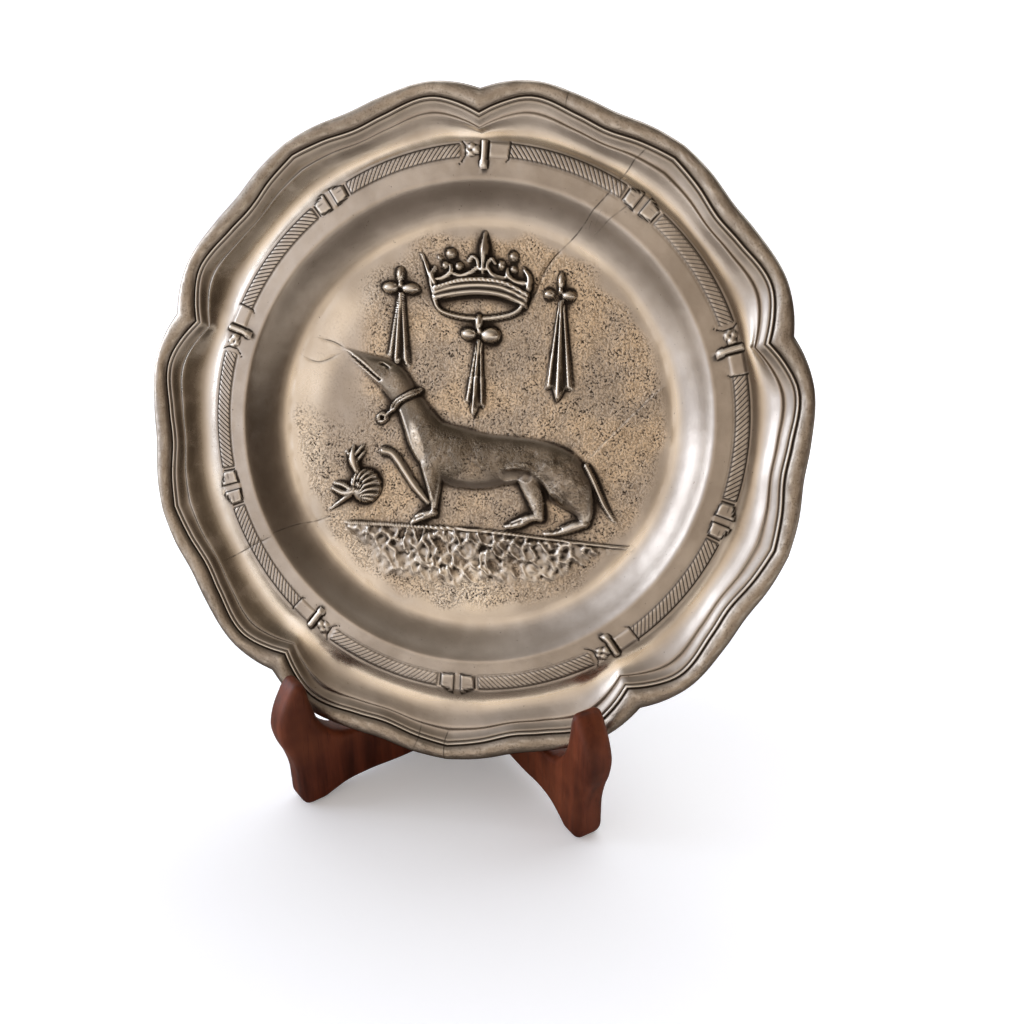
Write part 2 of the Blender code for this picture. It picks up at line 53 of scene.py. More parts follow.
# %% [markdown]
# ## The camera
# The photograph was taken from above and a little to the right, at arm's length. Its lens and place
# were worked out from the five notches of the rim and from the round edge of the well.

# %% Camera
CAMERA_PLACE = (0.09110, -0.35392, 0.27677)
CAMERA_TURN = (65.43, 0.71, 11.18)       # degrees about X, Y and Z
LENS_PIXELS, PICTURE_PIXELS, SENSOR = 1020.0, 1024.0, 36.0

camera_data = bpy.data.cameras.new("photo_camera")
camera_data.sensor_width = SENSOR
camera_data.lens = SENSOR * LENS_PIXELS / PICTURE_PIXELS
camera_data.clip_start = 0.01
camera = bpy.data.objects.new("photo_camera", camera_data)
camera.location = CAMERA_PLACE
camera.rotation_euler = [math.radians(value) for value in CAMERA_TURN]
bpy.context.scene.collection.objects.link(camera)
bpy.context.scene.camera = camera
print("lens %.2f mm" % camera_data.lens)

# %% [markdown]
# ## Sizes of the plate
# These are the driving sizes that the solids have too. A rail of the rim is a curve that runs all the
# way round at a set place in the moulding, so it follows the lobes. Its radius is drawn from the
# nearest notch, over a shoulder and a dip, to the middle of the lobe.

# %% Plate sizes
TILT = math.radians(20.0)
PLATE_CENTRE = np.array([1.8, 5.05, 145.0])
LOBE_TURN, FIRST_NOTCH = 72.0, 90.0
FLOOR, FLOOR_RADIUS, WELL_RADIUS = -10.0, 77.0, 92.5
BAND_MIDDLE, BAND_HALF = 101.7, 2.5
BAND_SHIFT, BAND_SHIFT_FROM = (0.4, 1.1), 93.0
BASIN_START, BASIN_DEPTH = 105.0, 1.4
MOULDING_WIDTH = 12.8
RIM_SHIFT = (-1.8, -1.2)
EDGE_RADII = [(0.0, 125.8), (3.0, 127.7), (8.0, 129.6), (18.0, 128.4), (23.5, 127.6), (30.0, 129.1),
              (36.0, 130.0)]
STEP_RADII = [(0.0, 111.2), (3.0, 114.0), (8.0, 117.4), (18.0, 116.0), (23.5, 115.2), (30.0, 116.6),
              (36.0, 117.4)]
# Moulding, by width in from the edge: its height, the sweep under its fine lines, and how far the ridge
# line swings in, by degrees from the notch
MOULDING = [(0.0, 2.4), (0.5, 3.1), (1.2, 3.55), (2.2, 3.75), (3.2, 3.65), (4.1, 3.35), (4.8, 2.9),
            (5.2, 2.5), (5.6, 1.8), (5.95, 2.2), (6.35, 2.65), (6.75, 2.3), (7.15, 1.75), (7.5, 2.05),
            (7.9, 2.1), (8.4, 1.9), (9.2, 1.4), (10.0, 0.95), (10.7, 0.6), (11.4, 0.5), (11.9, 0.75),
            (12.3, 1.2), (12.8, 1.22)]
MOULDING_SWEEP = [(0.0, 2.9), (3.0, 3.3), (5.0, 3.0), (7.0, 2.4), (8.2, 1.9), (9.4, 1.3), (10.8, 0.8),
                  (12.8, 1.1)]
RIDGE_SWING = [(0.0, 2.0), (5.0, 0.9), (8.0, 0.2), (18.0, 1.1), (23.5, 1.4), (30.0, 0.7), (36.0, -0.3)]
# Basins: share of their width, and share of their depth below the ribbon's outer edge
BASIN_COVE = [(0.0, 0.0), (0.1, 0.42), (0.2, 0.78), (0.3, 0.98), (0.4, 1.0), (0.52, 0.85), (0.64, 0.5),
              (0.76, -0.05), (0.88, -0.75), (1.0, -1.3)]
BORDER_FROM, BORDER_HEIGHTS = 98.4, (-0.3, -0.6)     # the flat under the ribbon, at its inner and outer edge
WELL = [(77.0, -10.0), (79.5, -9.7), (82.0, -8.7), (84.5, -7.0), (87.0, -4.9), (89.2, -2.6), (91.0, -0.9),
        (92.3, -0.05), (93.4, -0.1), (98.4, -0.3)]
BACK = [(77.0, -12.8), (80.5, -12.2), (84.5, -9.4), (88.5, -6.2), (92.5, -3.9), (97.0, -3.7), (104.0, -4.8)]


def smooth_curve(knots, x):
    """Value at x of a cubic through the knots (position, value ...), with the slopes of their neighbours."""
    table = np.array(knots, float)
    places, values = table[:, 0], table[:, 1:]
    slopes = np.gradient(values, places, axis=0)
    x = np.asarray(x, float)
    left = np.clip(np.searchsorted(places, x, side="right") - 1, 0, len(places) - 2)
    step = (places[left + 1] - places[left])[..., None]
    t = ((x - places[left]) / step[..., 0])[..., None]
    return ((2 * t**3 - 3 * t**2 + 1) * values[left] + (t**3 - 2 * t**2 + t) * step * slopes[left]
            + (3 * t**2 - 2 * t**3) * values[left + 1] + (t**3 - t**2) * step * slopes[left + 1])


def soft_step(low, high, value):
    """0 below low, 1 above high, and a smooth S between: 3t^2 - 2t^3."""
    t = np.clip((value - low) / (high - low), 0.0, 1.0)
    return t * t * (3.0 - 2.0 * t)


def from_notch(angle):
    """Degrees to the nearest notch, with the sign of the turn away from it."""
    return (np.degrees(angle) - FIRST_NOTCH + LOBE_TURN / 2) % LOBE_TURN - LOBE_TURN / 2


# %% [markdown]
# ## Patterns from random numbers
# Old cast pewter is never even. A value noise puts a random number at each point of a square lattice
# and blends between them. Where it passes through zero it draws the short wandering marks of the
# stippled ground, because a zero line of smooth noise looks like a worm.

# %% Noise
def value_noise(x, y, size, seed):
    """Smooth noise between -1 and 1: random lattice values, size apart, blended by an S curve each way."""
    lattice = np.random.default_rng(seed).uniform(-1.0, 1.0, (256, 256))
    column, row = np.floor(x / size).astype(int), np.floor(y / size).astype(int)
    across, up = soft_step(0.0, 1.0, x / size - column), soft_step(0.0, 1.0, y / size - row)
    corner = [lattice[(row + j) % 256, (column + i) % 256] for j in (0, 1) for i in (0, 1)]
    low = corner[0] + (corner[1] - corner[0]) * across
    high = corner[2] + (corner[3] - corner[2]) * across
    return low + (high - low) * up


def worm_marks(x, y, size, seed, width=0.22):
    """1 on the zero lines of the noise and 0 away from them: a smooth step of its absolute value."""
    bent = 0.35 * size * value_noise(x + 31.0, y - 17.0, 2.0 * size, seed + 1)
    return 1.0 - soft_step(0.0, width, np.abs(value_noise(x + bent, y - bent, size, seed)))


# %% [markdown]
# ## The figures as height functions
# Each figure is a height over the plate's floor. A limb is a path with a half width and a height at
# each station. A point of the plate finds its nearest place on the path, and half an ellipse over the
# distance gives the height there. The highest figure wins, so one limb lies on another with a crease.

# %% Limb and dome heights
def along_path(x, y, stations, count=48):
    """Nearest place on a smooth path: distance to it, side (+1 left of its run), values and share there."""
    knots = [(index, *station) for index, station in enumerate(stations)]
    table = smooth_curve(knots, np.linspace(0, len(stations) - 1, count))
    best = np.full(x.shape, 1e9)
    side = np.zeros(x.shape)
    values = np.zeros(x.shape + (table.shape[1] - 2,))
    place = np.zeros(x.shape)
    for index in range(count - 1):
        start, run = table[index, :2], table[index + 1, :2] - table[index, :2]
        t = np.clip(((x - start[0]) * run[0] + (y - start[1]) * run[1]) / (run @ run), 0.0, 1.0)
        dx, dy = x - start[0] - t * run[0], y - start[1] - t * run[1]
        distance = np.hypot(dx, dy)
        nearer = distance < best
        best = np.where(nearer, distance, best)
        side = np.where(nearer, np.sign(run[0] * dy - run[1] * dx), side)
        place = np.where(nearer, (index + t) / (count - 1), place)
        mixed = table[index, 2:] + t[..., None] * (table[index + 1, 2:] - table[index, 2:])
        values = np.where(nearer[..., None], mixed, values)
    return best, side, values, place


def limb(x, y, stations, roundness=0.5, count=48):
    """Height of a limb: its height times (1 - (distance / half width)^2) to the power of the roundness."""
    xs, ys = [s[0] for s in stations], [s[1] for s in stations]
    reach = max(s[2] for s in stations) + 1.5
    height = np.zeros(x.shape)
    near = (x > min(xs) - reach) & (x < max(xs) + reach) & (y > min(ys) - reach) & (y < max(ys) + reach)
    if near.any():
        distance, _, values, _ = along_path(x[near], y[near], stations, count)
        inside = 1.0 - (distance / np.maximum(values[:, 0], 0.15)) ** 2
        height[near] = values[:, 1] * np.clip(inside, 0.0, 1.0) ** roundness
    return height


def dome(x, y, centre_x, centre_y, half_x, half_y, rise, power=0.5):
    """Height of half an ellipsoid."""
    inside = 1.0 - ((x - centre_x) / half_x) ** 2 - ((y - centre_y) / half_y) ** 2
    return rise * np.clip(inside, 0.0, 1.0) ** power


def wire(distance, half_width):
    """1 on a line and 0 away from it: exp(-(distance / half width)^2)."""
    return np.exp(-(distance / half_width) ** 2)


def line_mark(x, y, points, half_width, count=24):
    """1 on a drawn line and 0 beyond its half width, rounded like a wire."""
    stations = [(*point, half_width, 1.0) for point in points]
    return limb(x, y, stations, roundness=0.7, count=count)


# %% [markdown]
# ## The ermine
# The beast is long and low: a wedge of a head with its mouth open, a thick neck with a collar, a body
# that lies on short legs, and a thin tail down its back. Head, neck, shoulder and rump are one limb,
# because they swell and thin without a break. The legs lie on it.

# %% Ermine
# Each limb: x, y, half width and height at its stations
ERMINE_BODY = [(-55.0, 27.3, 0.8, 1.6), (-50.4, 24.8, 2.3, 2.8), (-44.6, 22.0, 4.0, 3.9),
               (-39.1, 19.3, 5.6, 4.8), (-34.0, 15.8, 6.3, 5.2), (-29.8, 10.7, 6.0, 4.8),
               (-26.2, 6.0, 6.2, 5.0), (-22.6, 0.0, 7.4, 5.4), (-17.6, -7.0, 9.8, 6.0),
               (-9.0, -12.2, 12.0, 6.2), (2.0, -14.0, 11.6, 6.0), (13.0, -13.2, 9.9, 5.8),
               (25.0, -13.2, 8.9, 6.0), (35.0, -16.6, 9.0, 6.2), (41.8, -21.4, 7.0, 5.6)]
NEAR_HAUNCH = [(29.0, -16.6, 5.0, 5.8), (36.0, -20.0, 9.0, 6.8), (41.6, -25.6, 7.6, 6.2),
               (44.8, -31.0, 4.4, 5.0), (45.6, -35.4, 2.4, 4.0)]
NEAR_HIND_FOOT = [(45.6, -36.2, 1.5, 3.4), (42.0, -37.2, 2.1, 3.4), (38.0, -38.9, 1.9, 3.0),
                  (34.0, -40.3, 1.3, 2.6), (30.4, -41.1, 0.9, 2.0)]
FAR_HIND_LEG = [(22.6, -19.4, 4.8, 2.8), (25.2, -26.2, 3.6, 3.0), (27.0, -31.8, 2.5, 3.0),
                (27.8, -34.6, 1.9, 2.8)]
FAR_HIND_FOOT = [(28.0, -34.4, 1.5, 2.6), (23.6, -35.4, 1.7, 2.8), (19.6, -37.6, 1.7, 2.6),
                 (14.8, -39.4, 0.9, 1.8)]
FORELEG = [(-16.4, -17.0, 5.0, 5.0), (-15.4, -25.6, 3.2, 4.6), (-14.9, -31.6, 1.9, 4.2),
           (-15.0, -36.2, 1.5, 3.6)]
FORE_PAW = [(-14.4, -35.6, 1.4, 3.2), (-18.0, -36.9, 1.8, 3.4), (-21.0, -38.3, 1.6, 3.0),
            (-23.6, -40.4, 1.0, 2.0)]
RAISED_LEG = [(-36.8, -12.4, 1.8, 2.2), (-33.4, -13.2, 1.6, 1.7), (-30.4, -16.2, 1.7, 1.7),
              (-27.0, -20.8, 1.7, 1.7), (-22.6, -26.4, 1.6, 1.8), (-17.4, -31.8, 1.2, 1.6)]
TAIL = [(44.8, -13.4, 0.9, 2.2), (47.6, -18.2, 1.0, 2.3), (50.2, -23.4, 0.9, 2.2),
        (53.0, -28.8, 0.8, 1.8), (57.0, -34.4, 0.4, 1.0)]
COLLAR = [(-33.4, 4.8, 1.4, 2.2), (-30.9, 7.4, 1.5, 5.3), (-27.2, 9.7, 1.5, 6.0), (-24.6, 11.2, 1.4, 5.2),
          (-22.8, 12.3, 0.9, 2.4)]
COLLAR_LINK = [(-33.4, 4.2, 0.6, 2.2), (-36.0, 2.2, 0.6, 1.8)]
PENDANT, PENDANT_RADIUS, PENDANT_HALF = (-37.9, 0.7), 1.6, 0.6
MOUTH = [(-54.0, 26.2), (-46.8, 21.0), (-39.6, 15.7)]
LIP = [(-54.4, 27.2), (-46.8, 22.4), (-40.2, 16.9)]
BROW = [(-39.0, 21.9), (-37.6, 21.5), (-36.0, 20.5)]
CHEST_RIDGE = [(-30.6, 3.4), (-27.2, -4.6), (-24.4, -11.0), (-21.0, -17.6), (-17.8, -24.6), (-16.0, -30.0)]
CHEST = (-22.4, -8.6, 2.3, 8.6)
GROIN_FOLD = [(15.0, -15.8), (19.0, -15.0), (23.6, -15.8), (26.6, -19.0), (31.0, -23.6), (36.0, -27.6)]
GROIN_PIT = [(13.6, -19.0), (18.0, -18.2), (22.0, -19.0)]
TOE_CUTS = [[(-22.2, -38.6), (-18.8, -37.0)], [(17.2, -38.0), (20.8, -36.4)], [(32.6, -40.0), (36.4, -38.6)]]
BODY_BLEND = 1.3


def soft_maximum(first, second, blend):
    """The higher of two heights with the crease filled: half of a + b + sqrt((a - b)^2 + k^2) - k."""
    return 0.5 * (first + second + np.sqrt((first - second) ** 2 + blend**2) - blend)


def ermine(x, y):
    """Height of the ermine: body and near legs flow together, far legs lie behind, then come the cuts."""
    height = limb(x, y, ERMINE_BODY, count=90)
    for leg in (NEAR_HAUNCH, FORELEG, NEAR_HIND_FOOT, FORE_PAW):
        height = soft_maximum(height, limb(x, y, leg), BODY_BLEND)
    height = np.maximum.reduce([height, limb(x, y, FAR_HIND_LEG, 0.4), limb(x, y, FAR_HIND_FOOT, 0.4)])
    height = soft_maximum(height, limb(x, y, RAISED_LEG, 0.8), 0.3)
    on_body = soft_step(0.0, 1.0, height)
    sway = 0.36 * value_noise(x, y, 5.0, 61) + 0.18 * value_noise(x, y, 2.0, 62)
    height += (sway - 0.25 * worm_marks(x, y, 1.6, 63, 0.16)) * soft_step(1.5, 4.0, height)
    height -= 1.5 * line_mark(x, y, MOUTH, 0.6) * on_body
    height -= 0.9 * line_mark(x, y, BROW, 0.55) * on_body
    height += 0.5 * line_mark(x, y, LIP, 0.7) * on_body
    height += 0.5 * line_mark(x, y, CHEST_RIDGE, 1.3) * on_body
    height += 0.45 * line_mark(x, y, GROIN_FOLD, 1.5) * on_body
    height -= 0.7 * line_mark(x, y, GROIN_PIT, 2.2) * on_body
    height -= 1.2 * np.maximum.reduce([line_mark(x, y, cut, 0.6) for cut in TOE_CUTS]) * on_body
    collar = limb(x, y, COLLAR, roundness=0.3)
    distance = along_path(x, y, [c[:2] + (1.0,) for c in COLLAR], 12)[0]
    collar -= 1.1 * wire(distance, 0.4) * (collar > 1.0)
    height = np.maximum.reduce([height, collar, limb(x, y, COLLAR_LINK), limb(x, y, TAIL)])
    ring = np.abs(np.hypot(x - PENDANT[0], y - PENDANT[1]) - PENDANT_RADIUS) / PENDANT_HALF
    return np.maximum(height, 2.4 * np.sqrt(np.clip(1.0 - ring**2, 0.0, 1.0)))


# %% [markdown]
# ## Ermine spots and coronet
# A spot is a pleated tail under three drops. Its three ridges run out to three points. The coronet is
# a hoop seen a little from below: a moulded band above, a thin foot below, and between them the dark
# opening. Garlands, pearls and a spear stand on the band.

# %% Spots
SPOTS = [((-32.4, 50.6), [(-37.0, 24.4), (-33.0, 22.2), (-27.6, 20.4)]),
         ((0.1, 33.2), [(-5.2, 8.2), (-0.8, 2.8), (4.2, 6.6)]),
         ((31.6, 49.6), [(26.6, 15.2), (32.2, 10.6), (38.8, 15.0)])]
SPOT_PEARLS = [(-36.8, 52.0, 3.4, 2.3, 2.8), (-28.6, 51.8, 3.8, 2.2, 2.8), (-33.0, 57.2, 1.6, 3.2, 2.4),
               (-4.2, 35.0, 3.2, 2.3, 2.8), (4.5, 34.8, 4.1, 3.1, 3.6), (-0.4, 39.6, 1.6, 3.4, 2.8),
               (26.6, 51.2, 2.3, 1.9, 2.6), (34.2, 50.9, 2.9, 1.9, 2.8), (31.0, 56.2, 1.4, 3.4, 2.4),
               (-32.6, 53.2, 1.2, 1.5, 2.2), (0.2, 36.2, 1.3, 1.6, 2.4), (31.0, 52.6, 1.1, 1.4, 2.2)]


def spot(x, y, top, tips):
    """A fan of three ridges: across it, -1 to 1, the height is a row of tents that fade at the tips."""
    part = np.clip((top[1] - y) / (top[1] - tips[1][1]), 0.0, 1.3)
    left = top[0] - 0.9 + (tips[0][0] - top[0] + 0.9) * part
    middle = top[0] + (tips[1][0] - top[0]) * part
    right = top[0] + 0.9 + (tips[2][0] - top[0] - 0.9) * part
    lane = np.where(x < middle, (x - middle) / (middle - left), (x - middle) / (right - middle))
    ridge = np.interp(np.abs(lane), [0.0, 0.45, 0.74, 1.0, 1.04], [3.4, 0.5, 2.4, 0.4, 0.0])
    tip_side = np.where(x < middle, tips[0][1], tips[2][1])
    notched = 2.4 * np.sin(np.pi * np.clip(np.abs(lane), 0.0, 1.0)) ** 2
    end = tips[1][1] + (tip_side - tips[1][1]) * np.abs(lane) + notched
    sinking = 1.0 - 0.25 * np.clip(part, 0.0, 1.0)
    return ridge * soft_step(0.0, 0.7, y - end) * soft_step(0.0, 0.8, top[1] - y) * sinking


def spots(x, y):
    """The three fans with the drops at their heads."""
    fans = [spot(x, y, top, tips) for top, tips in SPOTS]
    return np.maximum.reduce(fans + [dome(x, y, *place) for place in SPOT_PEARLS])


# %% Coronet
BAND_TOP = [(-19.6, 52.2), (-10.0, 55.4), (0.0, 56.3), (10.0, 55.0), (19.2, 50.6)]
BAND_LOW = [(-19.0, 47.6), (-10.0, 49.4), (0.0, 50.3), (10.0, 49.0), (18.4, 45.6)]
CORONET_PEARLS = [(-12.9, 65.6, 2.1, 2.1, 3.0), (-14.8, 61.0, 1.5, 1.6, 2.6), (-9.4, 60.8, 1.6, 1.8, 2.8),
                  (12.0, 65.0, 1.8, 1.8, 2.8), (7.4, 61.6, 1.5, 2.0, 2.8), (12.2, 60.2, 1.3, 1.5, 2.4),
                  (-17.4, 64.0, 0.9, 0.9, 1.6), (0.2, 59.9, 2.6, 0.9, 3.0)]
CORONET_FOOT = [(-19.2, 49.0, 0.7, 2.0), (-16.4, 44.0, 0.8, 2.0), (-10.0, 41.8, 0.8, 1.8),
                (-1.0, 41.0, 0.7, 1.6), (7.0, 41.8, 0.8, 1.8), (13.4, 43.6, 0.8, 2.0), (17.6, 47.6, 0.8, 2.0)]
SPEAR = [(0.2, 59.0, 0.9, 2.4), (0.2, 62.6, 0.9, 2.6), (0.3, 67.6, 2.0, 3.6), (0.4, 74.2, 0.25, 1.2)]
LEFT_STRAP = [(-24.6, 65.2, 0.5, 1.6), (-21.4, 58.0, 0.7, 2.2), (-19.4, 51.0, 0.7, 2.2),
              (-17.6, 46.4, 0.6, 1.8)]
CRESTING = [[(-18.6, 54.0, 1.2, 2.8), (-20.2, 57.2, 1.1, 2.6), (-19.0, 60.4, 0.5, 1.8)],
            [(18.4, 53.0, 1.2, 2.8), (18.6, 57.0, 1.2, 2.6), (16.4, 60.2, 0.6, 1.8)],
            [(-18.4, 55.6, 0.8, 2.2), (-15.4, 56.4, 0.9, 2.2), (-12.6, 58.6, 1.1, 2.6),
             (-12.8, 61.4, 0.5, 1.8)],
            [(-12.2, 58.2, 0.8, 2.2), (-8.6, 57.2, 0.9, 2.2), (-5.0, 58.4, 1.0, 2.6), (-2.6, 60.2, 0.8, 2.4)],
            [(2.2, 60.2, 0.8, 2.4), (4.2, 57.8, 1.0, 2.6), (7.8, 56.8, 0.9, 2.2), (11.0, 57.4, 0.8, 2.2)],
            [(9.8, 60.2, 0.5, 1.8), (10.2, 57.6, 1.1, 2.6), (13.6, 55.4, 0.9, 2.2), (17.4, 55.0, 0.8, 2.2)],
            [(-5.6, 63.2, 0.6, 2.0), (-4.2, 64.6, 0.6, 2.4), (-2.4, 63.6, 0.7, 2.4), (-1.6, 61.0, 0.8, 2.4)],
            [(4.6, 62.4, 0.6, 2.0), (3.6, 64.0, 0.6, 2.4), (2.2, 63.0, 0.7, 2.4), (1.8, 60.8, 0.8, 2.4)]]


def coronet(x, y):
    """The band with its two mouldings, the foot, the cresting, the pearls and the spear."""
    top = smooth_curve(BAND_TOP, np.clip(x, BAND_TOP[0][0], BAND_TOP[-1][0]))[..., 0]
    low = smooth_curve(BAND_LOW, np.clip(x, BAND_LOW[0][0], BAND_LOW[-1][0]))[..., 0]
    part = (y - low) / (top - low)
    mouldings = np.interp(part, [-0.05, 0.05, 0.16, 0.28, 0.36, 0.52, 0.68, 0.76, 0.88, 1.0, 1.1],
                          [0.0, 2.6, 3.0, 2.4, 1.4, 3.0, 2.6, 1.7, 3.8, 3.4, 0.8])
    (left, left_top), (right, right_top) = BAND_TOP[0], BAND_TOP[-1]
    ends = soft_step(0.0, 0.8, x - left - 0.14 * (left_top - y))
    ends *= soft_step(0.0, 0.8, right - 0.16 * (right_top - y) - x)
    twist = 0.25 * np.cos(3.6 * (x + 0.6 * y)) * np.exp(-((part - 0.9) / 0.1) ** 2)
    band = (mouldings + twist) * ends * (part > -0.05) * (part < 1.1)
    behind = 1.0 * ends * soft_step(-0.2, 0.4, y - top) * soft_step(0.0, 1.0, top + 2.6 - y)
    figures = [limb(x, y, leaf, count=20) for leaf in CRESTING + [CORONET_FOOT, SPEAR, LEFT_STRAP]]
    spear_ridge = 0.9 * line_mark(x, y, [(0.2, 61.0), (0.4, 73.6)], 0.7)
    figures += [dome(x, y, *place) for place in CORONET_PEARLS]
    return np.maximum.reduce([band, behind] + figures) + spear_ridge


# %% [markdown]
# ## Plant and rocky ground
# A curled leaf with deep ribs stands at the left. Below is a ledge, and under it a bank of stones.
# Stones are cells round scattered points: each point of the plate takes the nearest two scattered
# points, and where both are as near, the joint between two stones runs.

# %% Plant
CURL = (-43.6, -26.9, 6.5, 6.9)                      # middle and half sizes
CURL_ROOT, CURL_RIBS = 4.4, 26.0                     # root left of and below the middle, ribs to a turn
STEMS = [[(-47.4, -21.0, 1.3, 2.8), (-49.2, -16.6, 2.1, 2.8), (-49.4, -11.4, 0.5, 1.4)],
         [(-49.0, -15.6, 1.0, 2.2), (-45.6, -10.8, 0.5, 1.4)],
         [(-50.2, -15.4, 0.9, 2.0), (-52.4, -13.4, 0.4, 1.2)],
         [(-48.0, -17.6, 1.0, 2.0), (-44.8, -13.2, 0.4, 1.2)],
         [(-48.6, -29.6, 1.5, 2.8), (-52.4, -30.4, 1.4, 2.4), (-57.4, -28.8, 0.8, 1.6)],
         [(-49.6, -28.6, 1.0, 2.6), (-53.4, -27.0, 0.9, 2.0), (-56.8, -26.6, 0.5, 1.2)],
         [(-49.8, -30.8, 1.1, 2.4), (-53.6, -33.6, 0.8, 1.8), (-58.4, -37.4, 0.4, 1.0)]]


def plant(x, y):
    """A low dome cut by bent ribs that fan out from its root, with its stems and leaf points."""
    dx, dy = x - CURL[0], y - CURL[1]
    reach = np.hypot(dx, dy)
    root_x, root_y = dx + CURL_ROOT, dy + CURL_ROOT
    ribs = np.sin(CURL_RIBS * np.arctan2(root_y, root_x) + 0.9 * reach)
    curl = dome(x, y, *CURL, 4.0, 0.4) * (0.8 + 0.2 * ribs * soft_step(2.0, 4.0, np.hypot(root_x, root_y)))
    curl -= 1.4 * wire(np.hypot(dx + 2.6, dy - 0.4) - 1.5, 0.5)
    return np.maximum.reduce([curl] + [limb(x, y, stem, count=16) for stem in STEMS])


# %% Ground
GROUND_TOP = [(-54.0, -41.6), (-20.0, -41.2), (10.0, -41.2), (35.0, -42.5), (57.0, -43.5)]
GROUND_FOOT = [(-54.0, -41.6), (-47.0, -48.0), (-38.0, -57.0), (-20.0, -61.0), (0.0, -62.4), (20.0, -61.4),
               (40.0, -55.0), (50.0, -48.0), (57.0, -44.6)]
LEDGE_DEPTH = 1.6
STONE_SIZE = 4.6


def stones(x, y, size, seed):
    """Distances to the nearest and next scattered point, one point in each square of a lattice."""
    chance = np.random.default_rng(seed)
    offset = chance.uniform(0.12, 0.88, (64, 64, 2))
    lift = chance.uniform(0.0, 1.0, (64, 64))
    column, row = np.floor(x / size).astype(int), np.floor(y / size).astype(int)
    nearest, following, height = np.full(x.shape, 9.0), np.full(x.shape, 9.0), np.zeros(x.shape)
    for i in (-1, 0, 1):
        for j in (-1, 0, 1):
            place = offset[(row + j) % 64, (column + i) % 64]
            distance = np.hypot(x / size - column - i - place[..., 0], y / size - row - j - place[..., 1])
            closer = distance < nearest
            following = np.where(closer, nearest, np.minimum(following, distance))
            height = np.where(closer, lift[(row + j) % 64, (column + i) % 64], height)
            nearest = np.minimum(nearest, distance)
    return nearest, following, height


def ground(x, y):
    """A level ledge, then stones with raised rims and dished tops that shrink towards the foot."""
    held = np.clip(x, GROUND_TOP[0][0], GROUND_TOP[-1][0])
    top, foot = smooth_curve(GROUND_TOP, held)[..., 0], smooth_curve(GROUND_FOOT, held)[..., 0]
    ragged = 3.0 * value_noise(x, y, 5.0, 41)
    depth = top - y
    share = np.clip(depth / (top - foot), 0.0, 1.0)
    inside = soft_step(0.0, 0.7, depth) * soft_step(-4.0, 4.0, y - foot - ragged)
    inside *= soft_step(0.0, 5.0, x - GROUND_TOP[0][0])
    sway = 1.9 * value_noise(x, y, 4.2, 42)
    nearest, following, lift = stones(x + sway, 0.8 * y - sway, STONE_SIZE, 43)
    joint = following - nearest
    broken = soft_step(-0.35, 0.45, value_noise(x, y, 3.2, 44)) * (1.0 - 0.45 * share)
    rims = 0.95 * wire(joint, 0.075) * broken
    flatter = 1.0 - 0.6 * share
    bank = 0.5 + rims + (1.5 * lift - 0.7 * soft_step(0.1, 0.5, joint)) * flatter
    bank += 0.4 * value_noise(x, y, 2.6, 45) + 0.25 * value_noise(x, y, 1.3, 46)
    ledge = 1.8 - 0.4 * depth
    mixed = ledge + (bank - ledge) * soft_step(LEDGE_DEPTH - 0.8, LEDGE_DEPTH + 0.4, depth + 0.4 * sway)
    mixed -= 0.8 * wire(depth - 1.3, 0.45)
    return np.maximum(mixed, 0.1) * inside


# %% [markdown]
# ## Marks of age
# Folds, dents and cracks crossed the plate in its long life. Each is a thin line pressed into the
# metal, or a low fold where the floor has buckled.

# %% Cracks and folds
# Points of each crack, its depth and how dark it is
CRACKS = [([(17.4, 46.0), (20.6, 52.0), (23.5, 59.0), (27.0, 64.8), (30.5, 68.4)], 1.0, 1.0),
          ([(30.5, 68.4), (38.0, 76.0), (45.0, 84.0), (50.0, 90.0)], 0.3, 0.75),
          ([(50.0, 90.0), (53.6, 95.0), (57.0, 99.4), (61.6, 103.6)], 0.3, 0.8),
          ([(44.0, 74.0), (52.0, 80.6), (57.6, 85.0)], 0.15, 0.45),
          ([(-55.6, 28.0), (-60.0, 30.0), (-66.0, 31.2)], 0.3, 0.8),
          ([(-57.0, 25.4), (-63.0, 22.4), (-67.0, 21.8), (-72.0, 23.4)], 0.3, 0.6),
          ([(-58.0, -40.0), (-64.0, -42.6), (-72.0, -44.6), (-79.0, -48.0)], 0.3, 0.6),
          ([(45.0, -11.4), (50.0, -5.2), (55.0, 0.4), (62.0, 8.0), (70.0, 15.0)], 0.25, 0.4),
          ([(-79.0, -49.0), (-88.0, -54.0), (-98.0, -60.0)], 0.25, 0.7),
          ([(-2.0, -120.0), (-3.0, -125.0), (-2.4, -131.0)], 0.3, 0.7),
          ([(-13.0, -119.0), (-13.6, -124.0), (-15.6, -129.0)], 0.3, 0.6),
          ([(30.6, 118.0), (31.6, 123.0), (33.0, 127.4)], 0.3, 0.8)]
CRACK_HALF, CRACK_REACH = 0.5, 3.0
# Round dents: middle and width of the ring
DENT_RINGS = [(-40.0, 75.0, 2.4), (29.0, 6.4, 2.6), (-61.0, 97.0, 1.8), (-46.0, 102.0, 1.6)]
FOLD = [(44.0, -12.0), (55.0, 0.0), (63.6, 9.6), (74.0, 20.0)]


